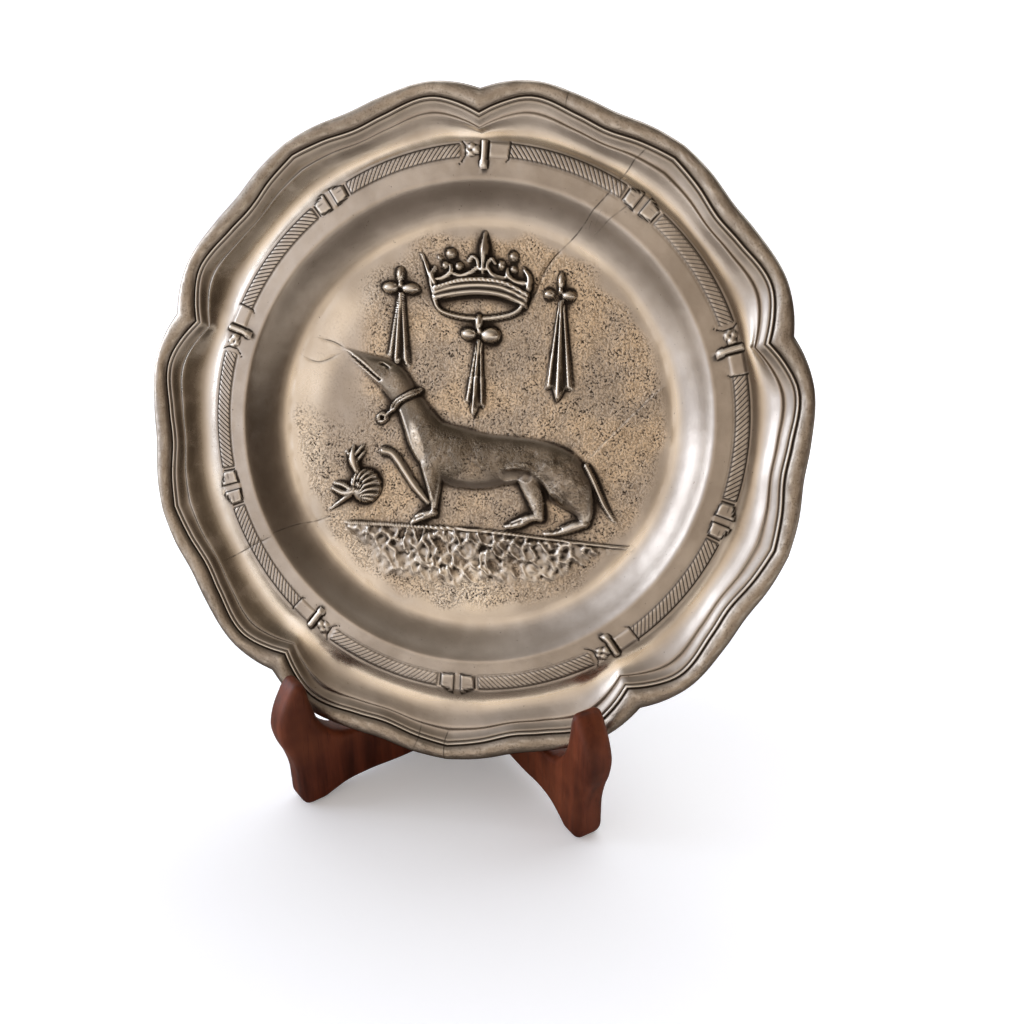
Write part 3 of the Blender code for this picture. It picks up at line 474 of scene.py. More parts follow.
def wear_marks(x, y):
    """Depth of all cracks and dents, the signed distance to the nearest crack, and how dark it is there."""
    depth, nearest = np.zeros(x.shape), np.full(x.shape, 9.0)
    signed, dark = np.zeros(x.shape), np.zeros(x.shape)
    for points, deep, strength in CRACKS:
        ends = np.array(points)
        near = ((x > ends[:, 0].min() - CRACK_REACH) & (x < ends[:, 0].max() + CRACK_REACH)
                & (y > ends[:, 1].min() - CRACK_REACH) & (y < ends[:, 1].max() + CRACK_REACH))
        if near.any():
            distance, side, _, place = along_path(x[near], y[near], [(*point, 1.0) for point in points], 16)
            closer = distance < nearest[near]
            taper = soft_step(0.0, 0.15, place) * soft_step(1.0, 0.85, place)
            nearest[near] = np.minimum(distance, nearest[near])
            signed[near] = np.where(closer, distance * side, signed[near])
            shade = strength * (0.35 + 0.65 * taper) * soft_step(CRACK_REACH, 1.5, distance)
            dark[near] = np.where(closer, shade, dark[near])
            depth[near] = np.maximum(depth[near], deep * wire(distance, CRACK_HALF) * taper)
    for dent_x, dent_y, radius in DENT_RINGS:
        depth = np.maximum(depth, 0.2 * wire(np.hypot(x - dent_x, y - dent_y) - 0.5 * radius, 0.7))
    return depth, signed, dark


def fold_height(x, y):
    """A low fold below the line: the metal rises towards it from the lower right and drops beyond it."""
    distance, side, _, place = along_path(x, y, [(*point, 1.0) for point in FOLD], 16)
    ends = soft_step(0.0, 0.12, place) * soft_step(1.0, 0.85, place)
    return 0.55 * np.exp(-distance / 4.0) * (side < 0) * ends


# %% [markdown]
# ## The ribbon band
# Between the well and the basins runs a flat ribbon, hatched by oblique strokes. At each notch it is
# tied by a bar with a bud to each side, and at the middle of each lobe by a knotted clasp. The strokes
# are drawn along the arc, mirrored about each notch.

# %% Band heights
BAND_ARC = BAND_MIDDLE * math.radians(1.0)          # mm of arc to a degree
HALF_LOBE_ARC = BAND_ARC * LOBE_TURN / 2
STROKE_PITCH, STROKE_SLANT = 1.9, 0.9
NOTCH_ORNAMENT, CLASP_BODY, CLASP_END = 9.8, 6.4, 8.2   # mm of arc from the notch or the lobe's middle
BUD_LOBES = [(3.1, 0.0, 1.5, 1.7, 1.2), (5.0, 1.3, 1.5, 1.2, 1.0), (5.2, -1.2, 1.5, 1.2, 1.0),
             (6.6, 0.1, 1.2, 0.9, 0.8)]
MIRRORED_NOTCH = 306.0                               # here bud and block have changed sides


def clasp(out, centre):
    """Height and engraved lines of a clasp: two flared buckles with rays, by distance across and along."""
    share = np.clip(1.0 - centre / CLASP_BODY, 0.0, 1.0)
    outer, inner = BAND_HALF + 2.4 * share**1.5, -BAND_HALF - 0.8 * share
    within = soft_step(0.3, -0.2, out - outer) * soft_step(-0.3, 0.2, out - inner)
    body = within * soft_step(0.9, 1.4, centre) * soft_step(CLASP_BODY + 0.2, CLASP_BODY - 0.3, centre)
    along = (centre > 1.0) * (centre < CLASP_BODY)
    lines = np.maximum(wire(out - outer, 0.34), wire(out - inner, 0.34)) * along
    bars = wire(centre - 1.35, 0.36) * (out < outer + 0.5) * (out > inner - 0.4)
    rays = wire((out - inner) / (outer - inner) * 4.0 % 1.0 - 0.5, 0.2) * within * (centre > 2.6) * along
    ends = np.maximum(wire(centre - 7.0, 0.3), wire(centre - CLASP_END, 0.3)) * (np.abs(out) < BAND_HALF)
    return 0.9 * body + 0.3 * within * (centre < 0.9), np.maximum.reduce([lines, bars, 0.55 * rays, ends])


def notch_bar(out, arc, with_bud):
    """Height and engraved lines at a notch: a bar, then a bud with hooks or a block of rays."""
    tall = soft_step(-5.8, -5.2, out) * soft_step(3.9, 3.3, out)
    height = 1.5 * soft_step(1.35, 0.7, arc) * tall
    lines = wire(arc - 1.55, 0.34) * tall
    bud = np.maximum.reduce([dome(arc, out, *lobe) for lobe in BUD_LOBES])
    outline = wire(bud - 0.25, 0.2) * (bud > 0.0)
    hook = wire(arc - 7.4 - 0.5 * np.clip(np.abs(out) - 1.6, 0.0, 9.0) ** 1.4, 0.4) * (np.abs(out) < 4.6)
    block = soft_step(BAND_HALF + 0.2, BAND_HALF - 0.2, np.abs(out)) * (arc > 1.8) * (arc < NOTCH_ORNAMENT)
    rays = wire((out / 0.85) % 1.0 - 0.5, 0.22) * block * soft_step(3.0, 6.0, arc)
    curl = wire(arc - NOTCH_ORNAMENT + 0.7 * np.clip(np.abs(out) - 2.8, 0.0, 9.0) ** 1.3, 0.4)
    end = curl * (out > -4.6) * (out < 3.8)
    height = np.maximum(height, np.where(with_bud, bud, 0.5 * block))
    beside = np.where(with_bud, np.maximum(outline, hook), np.maximum(0.6 * rays, end))
    return height, np.maximum(lines, beside)


def band_marks(radius, angle):
    """Height, engraved lines, the share of ribbon and the running number of its strokes."""
    turn = from_notch(angle)
    arc = np.abs(turn) * BAND_ARC
    out = radius - BAND_MIDDLE
    centre = HALF_LOBE_ARC - arc
    mirrored = np.abs((np.degrees(angle) - MIRRORED_NOTCH + 180.0) % 360.0 - 180.0) < LOBE_TURN / 2
    clasp_height, clasp_lines = clasp(out, centre)
    notch_height, notch_lines = notch_bar(out, arc, (turn > 0) != mirrored)
    free = soft_step(NOTCH_ORNAMENT - 1.0, NOTCH_ORNAMENT, arc)
    free *= soft_step(CLASP_END - 0.3, CLASP_END + 0.3, centre)
    ribbon = soft_step(BAND_HALF + 0.25, BAND_HALF - 0.15, np.abs(out)) * free
    edges = wire(np.abs(out) - BAND_HALF - 0.1, 0.33) * free
    phase = (arc + STROKE_SLANT * out) / STROKE_PITCH
    strokes = 0.5 + 0.5 * np.cos(2 * math.pi * phase)
    engraved = np.maximum.reduce([clasp_lines, notch_lines, 0.9 * edges])
    height = np.maximum.reduce([ribbon * (0.4 - 0.16 * strokes), clasp_height, notch_height])
    return height - 0.3 * engraved, engraved, ribbon, phase


# %% [markdown]
# ## The plate's front height
# The front is the turned and lobed profile, with the figures, the band, the marks of age and the fine
# roughness of the casting added. It is worked out ring by ring, as whole arrays. Beside its height a
# point gets marks that the material reads: relief, engraved lines, painted highlight with gloss,
# tarnish with painted shade, stipple, and the ribbon's share and strokes.

# %% Front surface
MARKS = ("relief", "engraved", "highlight_and_gloss", "tarnish_and_shade", "stipple", "ribbon", "stroke", "crack", "crack_dark")


def medallion_height(x, y):
    """Height of the floor with all its figures, and the marks of each point."""
    beast, fans, crown, leaf, rocks = ermine(x, y), spots(x, y), coronet(x, y), plant(x, y), ground(x, y)
    figures = np.maximum.reduce([beast, fans, crown, leaf, rocks])
    bare = 1.0 - soft_step(0.05, 0.5, figures)
    radius = np.hypot(x, y)
    smooth_metal = soft_step(-40.0, -52.0, x) * soft_step(-30.0, -12.0, y + 0.3 * x)
    foot = soft_step(-64.0, -50.0, y) * soft_step(-56.0, -46.0, x)
    stipple = soft_step(75.5, 70.0, radius + 3.0 * value_noise(x, y, 9.0, 5)) * (1.0 - 0.9 * smooth_metal)
    coat = 0.6 + 0.4 * soft_step(-0.2, 0.6, value_noise(x, y, 11.0, 13))
    stipple *= bare + (1.0 - bare) * coat * soft_step(1.5, 3.0, np.maximum(beast, 1.2 * rocks))
    worms = worm_marks(x, y, 1.4, 11) * stipple * bare
    sway = 0.18 * value_noise(x, y, 7.0, 6)
    height = FLOOR + figures + sway * bare - 0.14 * worms + fold_height(x, y) * bare
    # The ermine's tarnish is mottled, and painted shade makes it darker towards its upper back
    mottled_shaded_back = 0.62 + 0.3 * value_noise(x, y, 7.0, 14) + 0.2 * soft_step(-24.0, -10.0, y)
    tarnish_and_shade = np.maximum.reduce([mottled_shaded_back * soft_step(0.3, 1.6, beast), 0.88 * soft_step(0.2, 1.0, fans),
                                 0.6 * soft_step(0.2, 1.0, crown), 0.85 * soft_step(0.2, 1.0, leaf),
                                 0.25 * foot * soft_step(0.1, 0.6, rocks)])
    # Painted highlight on the chest: less tarnish and a bright mark there
    chest = np.hypot((x - CHEST[0] + 0.34 * (y - CHEST[1])) / CHEST[2], (y - CHEST[1]) / CHEST[3])
    chest_highlight = 0.9 * soft_step(1.2, 0.5, chest)
    # The bare floor's outer ring gets lighter and glossier towards the left and the bottom, and so do the
    # rocks towards the bottom
    left_and_low = soft_step(30.0, -40.0, x + 0.6 * y) * soft_step(58.0, 68.0, radius) * bare
    rocks_lighter_below = 0.6 * soft_step(-47.0, -58.0, y) * soft_step(0.05, 0.5, rocks)
    marks = {"relief": figures, "tarnish_and_shade": tarnish_and_shade * (1.0 - chest_highlight), "stipple": stipple,
             "highlight_and_gloss": np.maximum.reduce([chest_highlight, 0.6 * left_and_low, rocks_lighter_below])}
    return height, marks


def rim_places(turn):
    """Radius of the outer edge and of the inner step for the degrees to the nearest notch."""
    away = np.abs(turn)
    return smooth_curve(EDGE_RADII, away)[..., 0], smooth_curve(STEP_RADII, away)[..., 0]


def on_rails(radius, step, angle):
    """Place of a point: round the well's centre inside, the ribbon's on the border, the rim's at the rim."""
    follow = np.clip((radius - BASIN_START) / (step - BASIN_START), 0.0, 1.0)
    band = np.interp(radius, [BAND_SHIFT_FROM, BAND_MIDDLE - BAND_HALF], [0.0, 1.0]) * (1.0 - follow)
    return (radius * np.cos(angle) + RIM_SHIFT[0] * follow + BAND_SHIFT[0] * band,
            radius * np.sin(angle) + RIM_SHIFT[1] * follow + BAND_SHIFT[1] * band)


def front_places(kind, value, angle):
    """Places by radius, by share of the basin, or by width in from the edge with the ridge's swing."""
    turn = from_notch(angle)
    edge, step = rim_places(turn)
    if kind == "radius":
        radius = np.full(angle.shape, value)
    elif kind == "basin":
        radius = BASIN_START + value * (step - BASIN_START)
    else:
        swing = smooth_curve(RIDGE_SWING, np.abs(turn))[..., 0]
        width = value + swing * 4.0 * value * (MOULDING_WIDTH - value) / MOULDING_WIDTH**2
        radius = edge - width * (edge - step) / MOULDING_WIDTH
    return (*on_rails(radius, step, angle), radius, turn)


def left_shade(x):
    """1 in the left part of the rim, which is painted brown as shade, and 0 from the middle on."""
    return soft_step(-25.0, -85.0, x)


def floor_ring(x, y, value):
    """The medallion, level at its edge."""
    z, marks = medallion_height(x, y)
    border = soft_step(74.0, FLOOR_RADIUS, value)
    return z * (1.0 - border) + FLOOR * border, marks


def well_ring(x, y, value):
    """The turned wall of the well, with painted shade in brown at its left, and the flat that carries the
    ribbon.
    """
    if value >= BORDER_FROM:
        return np.full(x.shape, np.interp(value, (BORDER_FROM, BASIN_START), BORDER_HEIGHTS)), {}
    # Painted shade: the left of the well wall is darkened to brown
    brown = 0.5 * wire(np.hypot(x + 84.0, y - 16.0), 62.0) * soft_step(FLOOR_RADIUS, 82.0, value)
    return np.full(x.shape, smooth_curve(WELL, value)[0]), {"tarnish_and_shade": brown * (value < WELL_RADIUS)}


def basin_ring(x, turn, value):
    """A cove that rises to the moulding. Its floor is shallow at the notches."""
    scoop = 0.3 + 0.7 * soft_step(0.0, 6.5, np.abs(turn))
    cove = smooth_curve(BASIN_COVE, value)[0]
    z = BORDER_HEIGHTS[1] - BASIN_DEPTH * (max(cove, 0.0) * scoop + min(cove, 0.0))
    # The basins' outer part at the left is painted brown as shade
    return z, {"tarnish_and_shade": 0.85 * left_shade(x) * soft_step(0.25, 0.65, value)}


def moulding_ring(x, y, value):
    """The moulding's profile with a hammered bead. Its inner end runs into the basin's cove."""
    z, sweep = smooth_curve(MOULDING, value)[0], smooth_curve(MOULDING_SWEEP, value)[0]
    blend = soft_step(12.3, MOULDING_WIDTH, value)
    z = z * (1.0 - blend) + (BORDER_HEIGHTS[1] - BASIN_DEPTH * BASIN_COVE[-1][1]) * blend
    hammered = soft_step(0.6, 1.4, value) * soft_step(5.2, 4.4, value)
    pits = worm_marks(x, y, 2.0, 21, 0.3) * hammered
    z = z + 0.1 * value_noise(x, y, 2.4, 22) * hammered - 0.1 * pits
    # The moulding's outer beads are browner, and its inner part at the left is painted brown as shade
    brown = np.maximum(0.38 * soft_step(11.0, 8.0, value), 0.7 * left_shade(x) * soft_step(8.0, 9.0, value))
    return z, {"relief": (z - sweep) * (1.0 - blend), "engraved": 0.35 * pits, "stipple": 0.3 * hammered,
               "tarnish_and_shade": brown}


def ribbon_ring(x, y, radius, angle):
    """Height and marks that the ribbon adds. Below and at the upper right its strokes are worn."""
    raised, engraved, ribbon, phase = band_marks(radius, angle)
    worn = 0.5 * wire(np.hypot(x, y + BAND_MIDDLE), 70.0) + 0.4 * wire(np.hypot(x - 72.0, y - 72.0), 40.0)
    return raised, {"relief": raised, "engraved": engraved * (1.0 - 0.5 * worn),
                    "ribbon": ribbon * (1.0 - worn), "stroke": phase}


def highlight_share(x, y, radius, angle, kind, marks):
    """The strongest painted highlight of a place, which also makes it glossier: the well's foot, the
    medallion's foot, the inner basins, the figures.
    """
    # Painted highlights: the bright bands at the well's foot, the medallion's foot and the inner basins
    well_foot = 0.75 * wire(radius - 78.0, 2.0)
    medallion_foot = 0.9 * wire(np.hypot(x - 4.0, 0.8 * (y + 66.0)), 13.0) * soft_step(-54.0, -62.0, y)
    inner_basin = wire(radius - 108.2, 3.0) * (0.65 + 0.35 * np.abs(np.sin(angle))) * (kind == "basin")
    brightening = np.maximum.reduce([well_foot, medallion_foot, inner_basin + marks.get("highlight_and_gloss", 0.0)])
    return np.clip(brightening * (0.8 + 0.5 * value_noise(x, y, 14.0, 33)), 0.0, 1.0)


def front_ring(kind, value, angle):
    """Points and marks of one ring of the front: its own profile, the ribbon, unevenness, rub and wear."""
    x, y, radius, turn = front_places(kind, value, angle)
    on_floor = kind == "radius" and value <= FLOOR_RADIUS
    if on_floor:
        z, marks = floor_ring(x, y, value)
    elif kind == "radius":
        z, marks = well_ring(x, y, value)
    elif kind == "basin":
        z, marks = basin_ring(x, turn, value)
    else:
        z, marks = moulding_ring(x, y, value)
    if (kind == "radius" and value > 95.0) or (kind == "basin" and value < 0.25):
        raised, marks = ribbon_ring(x, y, radius, angle)
        z = z + raised
    if not on_floor or value == FLOOR_RADIUS:
        z = z + 0.07 * value_noise(x, y, 6.0, 31) + 0.05 * value_noise(x, y, 2.6, 32)
    marks["highlight_and_gloss"] = highlight_share(x, y, radius, angle, kind, marks)
    wear, marks["crack"], marks["crack_dark"] = wear_marks(x, y)
    table = [np.broadcast_to(marks.get(label, 0.0), angle.shape) for label in MARKS]
    return x, y, z - wear, np.stack(table, axis=1)


# %% [markdown]
# ## One closed mesh for the casting
# The rings lie close together where there is much to see. Near the middle each ring has fewer points,
# and a row of threes of triangles joins a ring to one with twice as many, so the squares stay even.
# The back is plain, as it is on such plates, and closes the mesh.

# %% Ring plan
WELL_RINGS = (77.0, 78.6, 80.4, 82.2, 84.0, 85.8, 87.4, 88.8, 90.0, 91.0, 91.8, 92.5, 93.4)
RIBBON_RINGS = (98.4, 98.8, 99.3, 100.0, 100.8, 101.6, 102.5, 103.4, 104.0, 104.4, 105.0)
MOULDING_RINGS = (12.8, 12.3, 11.9, 11.55, 11.2, 10.7, 10.0, 9.3, 8.7, 8.2, 7.8, 7.45, 7.15, 6.8, 6.4, 6.0,
                  5.6, 5.2, 4.7, 4.0, 3.3, 2.9, 2.5, 2.1, 1.7, 1.2, 0.6, 0.15)
BACK_RINGS = (104.0, 100.0, 96.0, 92.5, 90.0, 87.0, 84.0, 81.0, 77.0, 66.0, 52.0)


def ring_plan():
    """All rings from the middle of the front over the edge to the middle of the back: kind, value, count."""
    groups = [("radius", 90, np.arange(0.7, 7.0, 0.7)), ("radius", 180, np.arange(7.0, 19.0, 0.65)),
              ("radius", 360, np.arange(19.0, 41.0, 0.65)), ("radius", 720, np.arange(41.0, 76.9, 0.7)),
              ("radius", 360, WELL_RINGS), ("radius", 720, (95.2, 96.3, 97.2, 97.9)),
              ("radius", 1440, RIBBON_RINGS), ("basin", 720, (0.08, 0.16, 0.24)),
              ("basin", 360, (0.35, 0.48, 0.6, 0.72, 0.84, 0.94)), ("moulding", 360, MOULDING_RINGS),
              ("edge", 360, (0.0, 0.3, 1.0)), ("back", 180, (3.0, 6.0, 9.0, 12.0)),
              ("under", 180, BACK_RINGS), ("under", 90, (38.0, 24.0, 10.0))]
    return [(kind, value, count) for kind, count, values in groups for value in values]


EDGE_PROFILE = [(0.0, 1.2), (0.3, 0.2), (1.0, -0.5), (5.0, -0.9), (12.0, -6.6), (14.0, -6.4)]


def back_ring(kind, value, angle):
    """Points of one ring of the edge or back: the same rails as the front, at the back's heights."""
    turn = from_notch(angle)
    edge, step = rim_places(turn)
    radius = np.full(angle.shape, value) if kind == "under" else edge - value * (edge - step) / MOULDING_WIDTH
    x, y = on_rails(radius, step, angle)
    if kind == "under":
        z = np.full(angle.shape, smooth_curve(BACK, value)[0] if value >= 77.0 else BACK[0][1])
    else:
        z = smooth_curve(EDGE_PROFILE, np.full(angle.shape, value))[..., 0]
    return x, y, z + 0.06 * value_noise(x, y, 5.0, 51), np.zeros((len(angle), len(MARKS)))


def build_plate():
    """Arrays of points, marks and faces of the whole casting, in the plate's own millimetres."""
    places, marks, faces, starts, counts = [], [], [], [], []
    total = 0
    for kind, value, count in ring_plan():
        angle = np.arange(count) * 2 * math.pi / count + math.pi / 2
        maker = front_ring if kind in ("radius", "basin", "moulding") else back_ring
        x, y, z, table = maker(kind, value, angle)
        places.append(np.stack([x, y, z], axis=1))
        marks.append(table)
        starts.append(total)
        counts.append(count)
        total += count
    for ring in range(len(starts) - 1):
        faces += joined_rings(starts[ring], counts[ring], starts[ring + 1], counts[ring + 1])
    middle_z = medallion_height(np.zeros(1), np.zeros(1))[0][0]
    places.append(np.array([[0.0, 0.0, middle_z], [0.0, 0.0, BACK[0][1]]]))
    marks.append(np.zeros((2, len(MARKS))))
    spokes = np.arange(counts[0])
    faces.append(np.stack([np.full(counts[0], total), spokes, (spokes + 1) % counts[0]], axis=1))
    spokes = np.arange(counts[-1])
    after = starts[-1] + (spokes + 1) % counts[-1]
    faces.append(np.stack([np.full(counts[-1], total + 1), after, starts[-1] + spokes], axis=1))
    return np.concatenate(places), np.concatenate(marks), np.concatenate(faces)


def joined_rings(inner, inner_count, outer, outer_count):
    """Triangles between two rings of equal count, or of counts that differ by a factor of two."""
    if inner_count == outer_count:
        here = np.arange(inner_count)
        after = (here + 1) % inner_count
        return [np.stack([inner + here, outer + here, outer + after], axis=1),
                np.stack([inner + here, outer + after, inner + after], axis=1)]
    few, many = (inner, outer) if inner_count < outer_count else (outer, inner)
    few_count = min(inner_count, outer_count)
    here = np.arange(few_count)
    after = (here + 1) % few_count
    first, second, third = 2 * here, 2 * here + 1, (2 * here + 2) % (2 * few_count)
    fans = [(few + here, many + first, many + second), (few + here, many + second, few + after),
            (few + after, many + second, many + third)]
    if few == outer:
        fans = [(a, c, b) for a, b, c in fans]
    return [np.stack(fan, axis=1) for fan in fans]


# %% [markdown]
# ## Where painted shade and painted highlight go
# The hollows get painted shade and dark patina, and the ridges get a painted highlight. Both are measured on
# the
# relief itself: the relief of each point is compared with the mean relief round it, taken over one
# small and one wide neighbourhood. The results are kept as attributes for the material.

# %% Hollows and crests
def neighbour_mean(values, edges, degree, rounds):
    """Repeats the mean of each point with its neighbours, which spreads the values smoothly."""
    for _ in range(rounds):
        summed = (np.bincount(edges[:, 0], values[edges[:, 1]], len(values))
                  + np.bincount(edges[:, 1], values[edges[:, 0]], len(values)))
        values = 0.5 * values + 0.5 * summed / degree
    return values


def hollow_depths(relief, faces):
    """How far each point of the relief lies below its surroundings, in millimetres, near and far."""
    pairs = np.sort(np.concatenate([faces[:, [0, 1]], faces[:, [1, 2]], faces[:, [2, 0]]]), axis=1)
    edges = np.unique(pairs, axis=0)
    degree = np.bincount(edges.ravel(), minlength=len(relief)).astype(float)
    near = neighbour_mean(relief, edges, degree, 6)
    far = neighbour_mean(near, edges, degree, 40)
    return near - relief, far - relief


def make_mesh(name, points, faces, attributes):
    """A mesh object at the origin, from points in metres, with float attributes on its points."""
    mesh = bpy.data.meshes.new(name)
    mesh.vertices.add(len(points))
    mesh.vertices.foreach_set("co", points.astype(np.float32).ravel())
    mesh.loops.add(faces.size)
    mesh.loops.foreach_set("vertex_index", faces.astype(np.int32).ravel())
    mesh.polygons.add(len(faces))
    mesh.polygons.foreach_set("loop_start", np.arange(0, faces.size, faces.shape[1], dtype=np.int32))
    mesh.polygons.foreach_set("loop_total", np.full(len(faces), faces.shape[1], dtype=np.int32))
    mesh.update(calc_edges=True)
    mesh.polygons.foreach_set("use_smooth", np.ones(len(faces), dtype=bool))
    for label, values in attributes.items():
        layer = mesh.attributes.new(label, "FLOAT", "POINT")
        layer.data.foreach_set("value", values.astype(np.float32))
    made = bpy.data.objects.new(name, mesh)
    bpy.context.scene.collection.objects.link(made)
    return made


def to_world(points):
    """From the plate's own axes to the frame: up in the plate leans back, its face looks forward and up."""
    up = np.array([0.0, math.sin(TILT), math.cos(TILT)])
    out = np.array([0.0, -math.cos(TILT), math.sin(TILT)])
    turned = points[:, :1] * np.array([1.0, 0.0, 0.0]) + points[:, 1:2] * up + points[:, 2:3] * out
    return (turned + PLATE_CENTRE) * MM


# %% Make the plate
plate_points, plate_marks, plate_faces = build_plate()
near_depth, far_depth = hollow_depths(plate_marks[:, 0], plate_faces)
plate_attributes = dict(zip(MARKS[1:], plate_marks.T[1:]), near_depth=near_depth, far_depth=far_depth)
plate = make_mesh("cast_plate", to_world(plate_points), plate_faces, plate_attributes)
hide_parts("pewter_plate")
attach(plate, "root")
print("plate:", len(plate_points), "points,", len(plate_faces), "triangles")

# %% [markdown]
# ## The boards of the stand
# Each board was sawn from 12 mm mahogany, its edges rounded over by hand, stained and varnished. Its
# outline is a smooth closed curve through a few points. The outline is repeated across the thickness,
# drawn in near both faces along a quarter circle, and the flat faces close it.

# %% Board sizes
BOARD_THICKNESS = 12.0
BOARD_TURN = math.radians(42.0)
CROSSING = np.array([-1.0, 15.05])
ROUNDING, OUTLINE_INSET = 3.0, 0.3
HALVING_HEIGHT, TOUCH_GAP = 70.0, 0.3
FRONT = [(84.0, 0.0), (86.8, 0.6), (88.4, 3.0), (88.9, 9.0), (89.2, 17.0), (91.0, 24.5), (93.6, 31.5),
         (94.6, 38.0), (92.8, 45.5), (89.8, 51.4), (87.6, 54.8), (85.2, 56.6), (83.0, 56.0), (81.8, 53.4),
         (80.9, 48.0)]
LEFT_NOTCH = [(80.0, 44.6), (79.0, 40.2), (77.6, 36.6), (74.8, 32.6), (71.4, 29.8), (66.0, 27.8),
              (61.6, 27.2), (58.2, 28.4), (55.4, 31.2), (52.6, 34.8)]
RIGHT_NOTCH = [(79.4, 41.0), (77.4, 35.6), (74.4, 31.2), (70.5, 28.2), (66.0, 27.4), (61.5, 28.4),
               (58.0, 31.4), (55.4, 34.4), (51.6, 36.4)]
POST_AND_BACK_FOOT = [(43.4, 41.0), (37.6, 48.0), (11.4, 102.4), (-11.6, 149.4), (-16.6, 156.6),
                      (-23.0, 159.6), (-29.6, 156.8), (-32.6, 149.0), (-29.0, 125.0), (-22.0, 92.0),
                      (-18.6, 66.0), (-22.0, 46.0), (-32.0, 31.0), (-45.0, 20.0), (-53.0, 10.0),
                      (-54.6, 3.0), (-52.0, 0.0), (-43.0, 0.0)]
LEFT_ARCH = [(-37.0, 1.8), (-20.0, 3.0), (20.0, 2.6), (44.0, 2.8), (60.0, 3.6), (69.0, 3.0), (75.0, 1.2),
             (79.0, 0.0)]
RIGHT_ARCH = [(-38.0, 3.4), (-30.0, 6.4), (-18.0, 7.6), (20.0, 7.2), (50.0, 6.6), (62.0, 7.0), (69.0, 5.6),
              (75.0, 2.4), (79.0, 0.0)]
BOARDS = {"stand_left_board": (-1, FRONT + LEFT_NOTCH + POST_AND_BACK_FOOT + LEFT_ARCH),
          "stand_right_board": (1, FRONT + RIGHT_NOTCH + POST_AND_BACK_FOOT + RIGHT_ARCH)}


def smooth_outline(points, spacing=1.1):
    """Closed curve through the points (each span a cubic with chord-length steps), at an even spacing."""
    knots = np.array(points)
    wrapped = np.concatenate([knots[-3:], knots, knots[:4]])
    chord = np.concatenate([[0.0], np.cumsum(np.linalg.norm(np.diff(wrapped, axis=0), axis=1))])
    fine = np.linspace(chord[3], chord[3 + len(knots)], 4000, endpoint=False)
    curve = smooth_curve(np.column_stack([chord, wrapped]), fine)
    curve = np.clip(curve, (knots[:, 0].min() + OUTLINE_INSET, 0.0), knots.max(axis=0))
    length = np.concatenate([[0.0], np.cumsum(np.linalg.norm(np.diff(curve, axis=0), axis=1))])
    even = np.linspace(0.0, length[-1], int(length[-1] / spacing), endpoint=False)
    return np.column_stack([np.interp(even, length, curve[:, 0]), np.interp(even, length, curve[:, 1])])


def board_frame(side):
    """Unit directions of a board on the floor: forward along it, and out of its inner face."""
    forward = np.array([side * math.sin(BOARD_TURN), -math.cos(BOARD_TURN)])
    inward = np.array([-side * math.cos(BOARD_TURN), -math.sin(BOARD_TURN)])
    return forward, inward


def on_board(side, u, v, offset):
    """World place, in metres, of a point u forward, v up and offset towards the inner face."""
    forward, inward = board_frame(side)
    flat = CROSSING + np.outer(u, forward) + np.outer(offset, inward)
    return np.column_stack([flat, v]) * MM


def board_rings(side, outline):
    """Rings of the outline across the thickness; near a face the ring is drawn in by a quarter circle."""
    curve = smooth_outline(outline)
    run = np.roll(curve, -2, axis=0) - np.roll(curve, 2, axis=0)
    outward = np.column_stack([run[:, 1], -run[:, 0]]) / np.linalg.norm(run, axis=1)[:, None]
    if np.sum(curve[:, 0] * np.roll(curve[:, 1], -1) - curve[:, 1] * np.roll(curve[:, 0], -1)) < 0:
        outward = -outward
    half = BOARD_THICKNESS / 2
    turn = np.linspace(0.0, math.pi / 2, 6)
    sections = [(half - ROUNDING + ROUNDING * math.sin(a), ROUNDING * (1 - math.cos(a))) for a in turn]
    sections = sections[::-1] + [(-offset, drawn) for offset, drawn in sections]
    rings = []
    for offset, drawn in sections:
        line = curve - outward * drawn
        line[:, 1] = np.maximum(line[:, 1], 0.0)
        rings.append(on_board(side, line[:, 0], line[:, 1], np.full(len(line), offset)))
    return rings


def board_object(name, side, outline):
    """The board as a closed mesh; cut_slot takes the slot out of it afterwards."""
    shape = bmesh.new()
    rows = [[shape.verts.new(point) for point in ring] for ring in board_rings(side, outline)]
    count = len(rows[0])
    for row, following in zip(rows, rows[1:]):
        for index in range(count):
            after = (index + 1) % count
            shape.faces.new((row[index], row[after], following[after], following[index]))
    shape.faces.new(rows[0])
    shape.faces.new(rows[-1][::-1])
    bmesh.ops.recalc_face_normals(shape, faces=shape.faces)
    mesh = bpy.data.meshes.new(name)
    shape.to_mesh(mesh)
    shape.free()
    made = bpy.data.objects.new(name, mesh)
    bpy.context.scene.collection.objects.link(made)
    return made


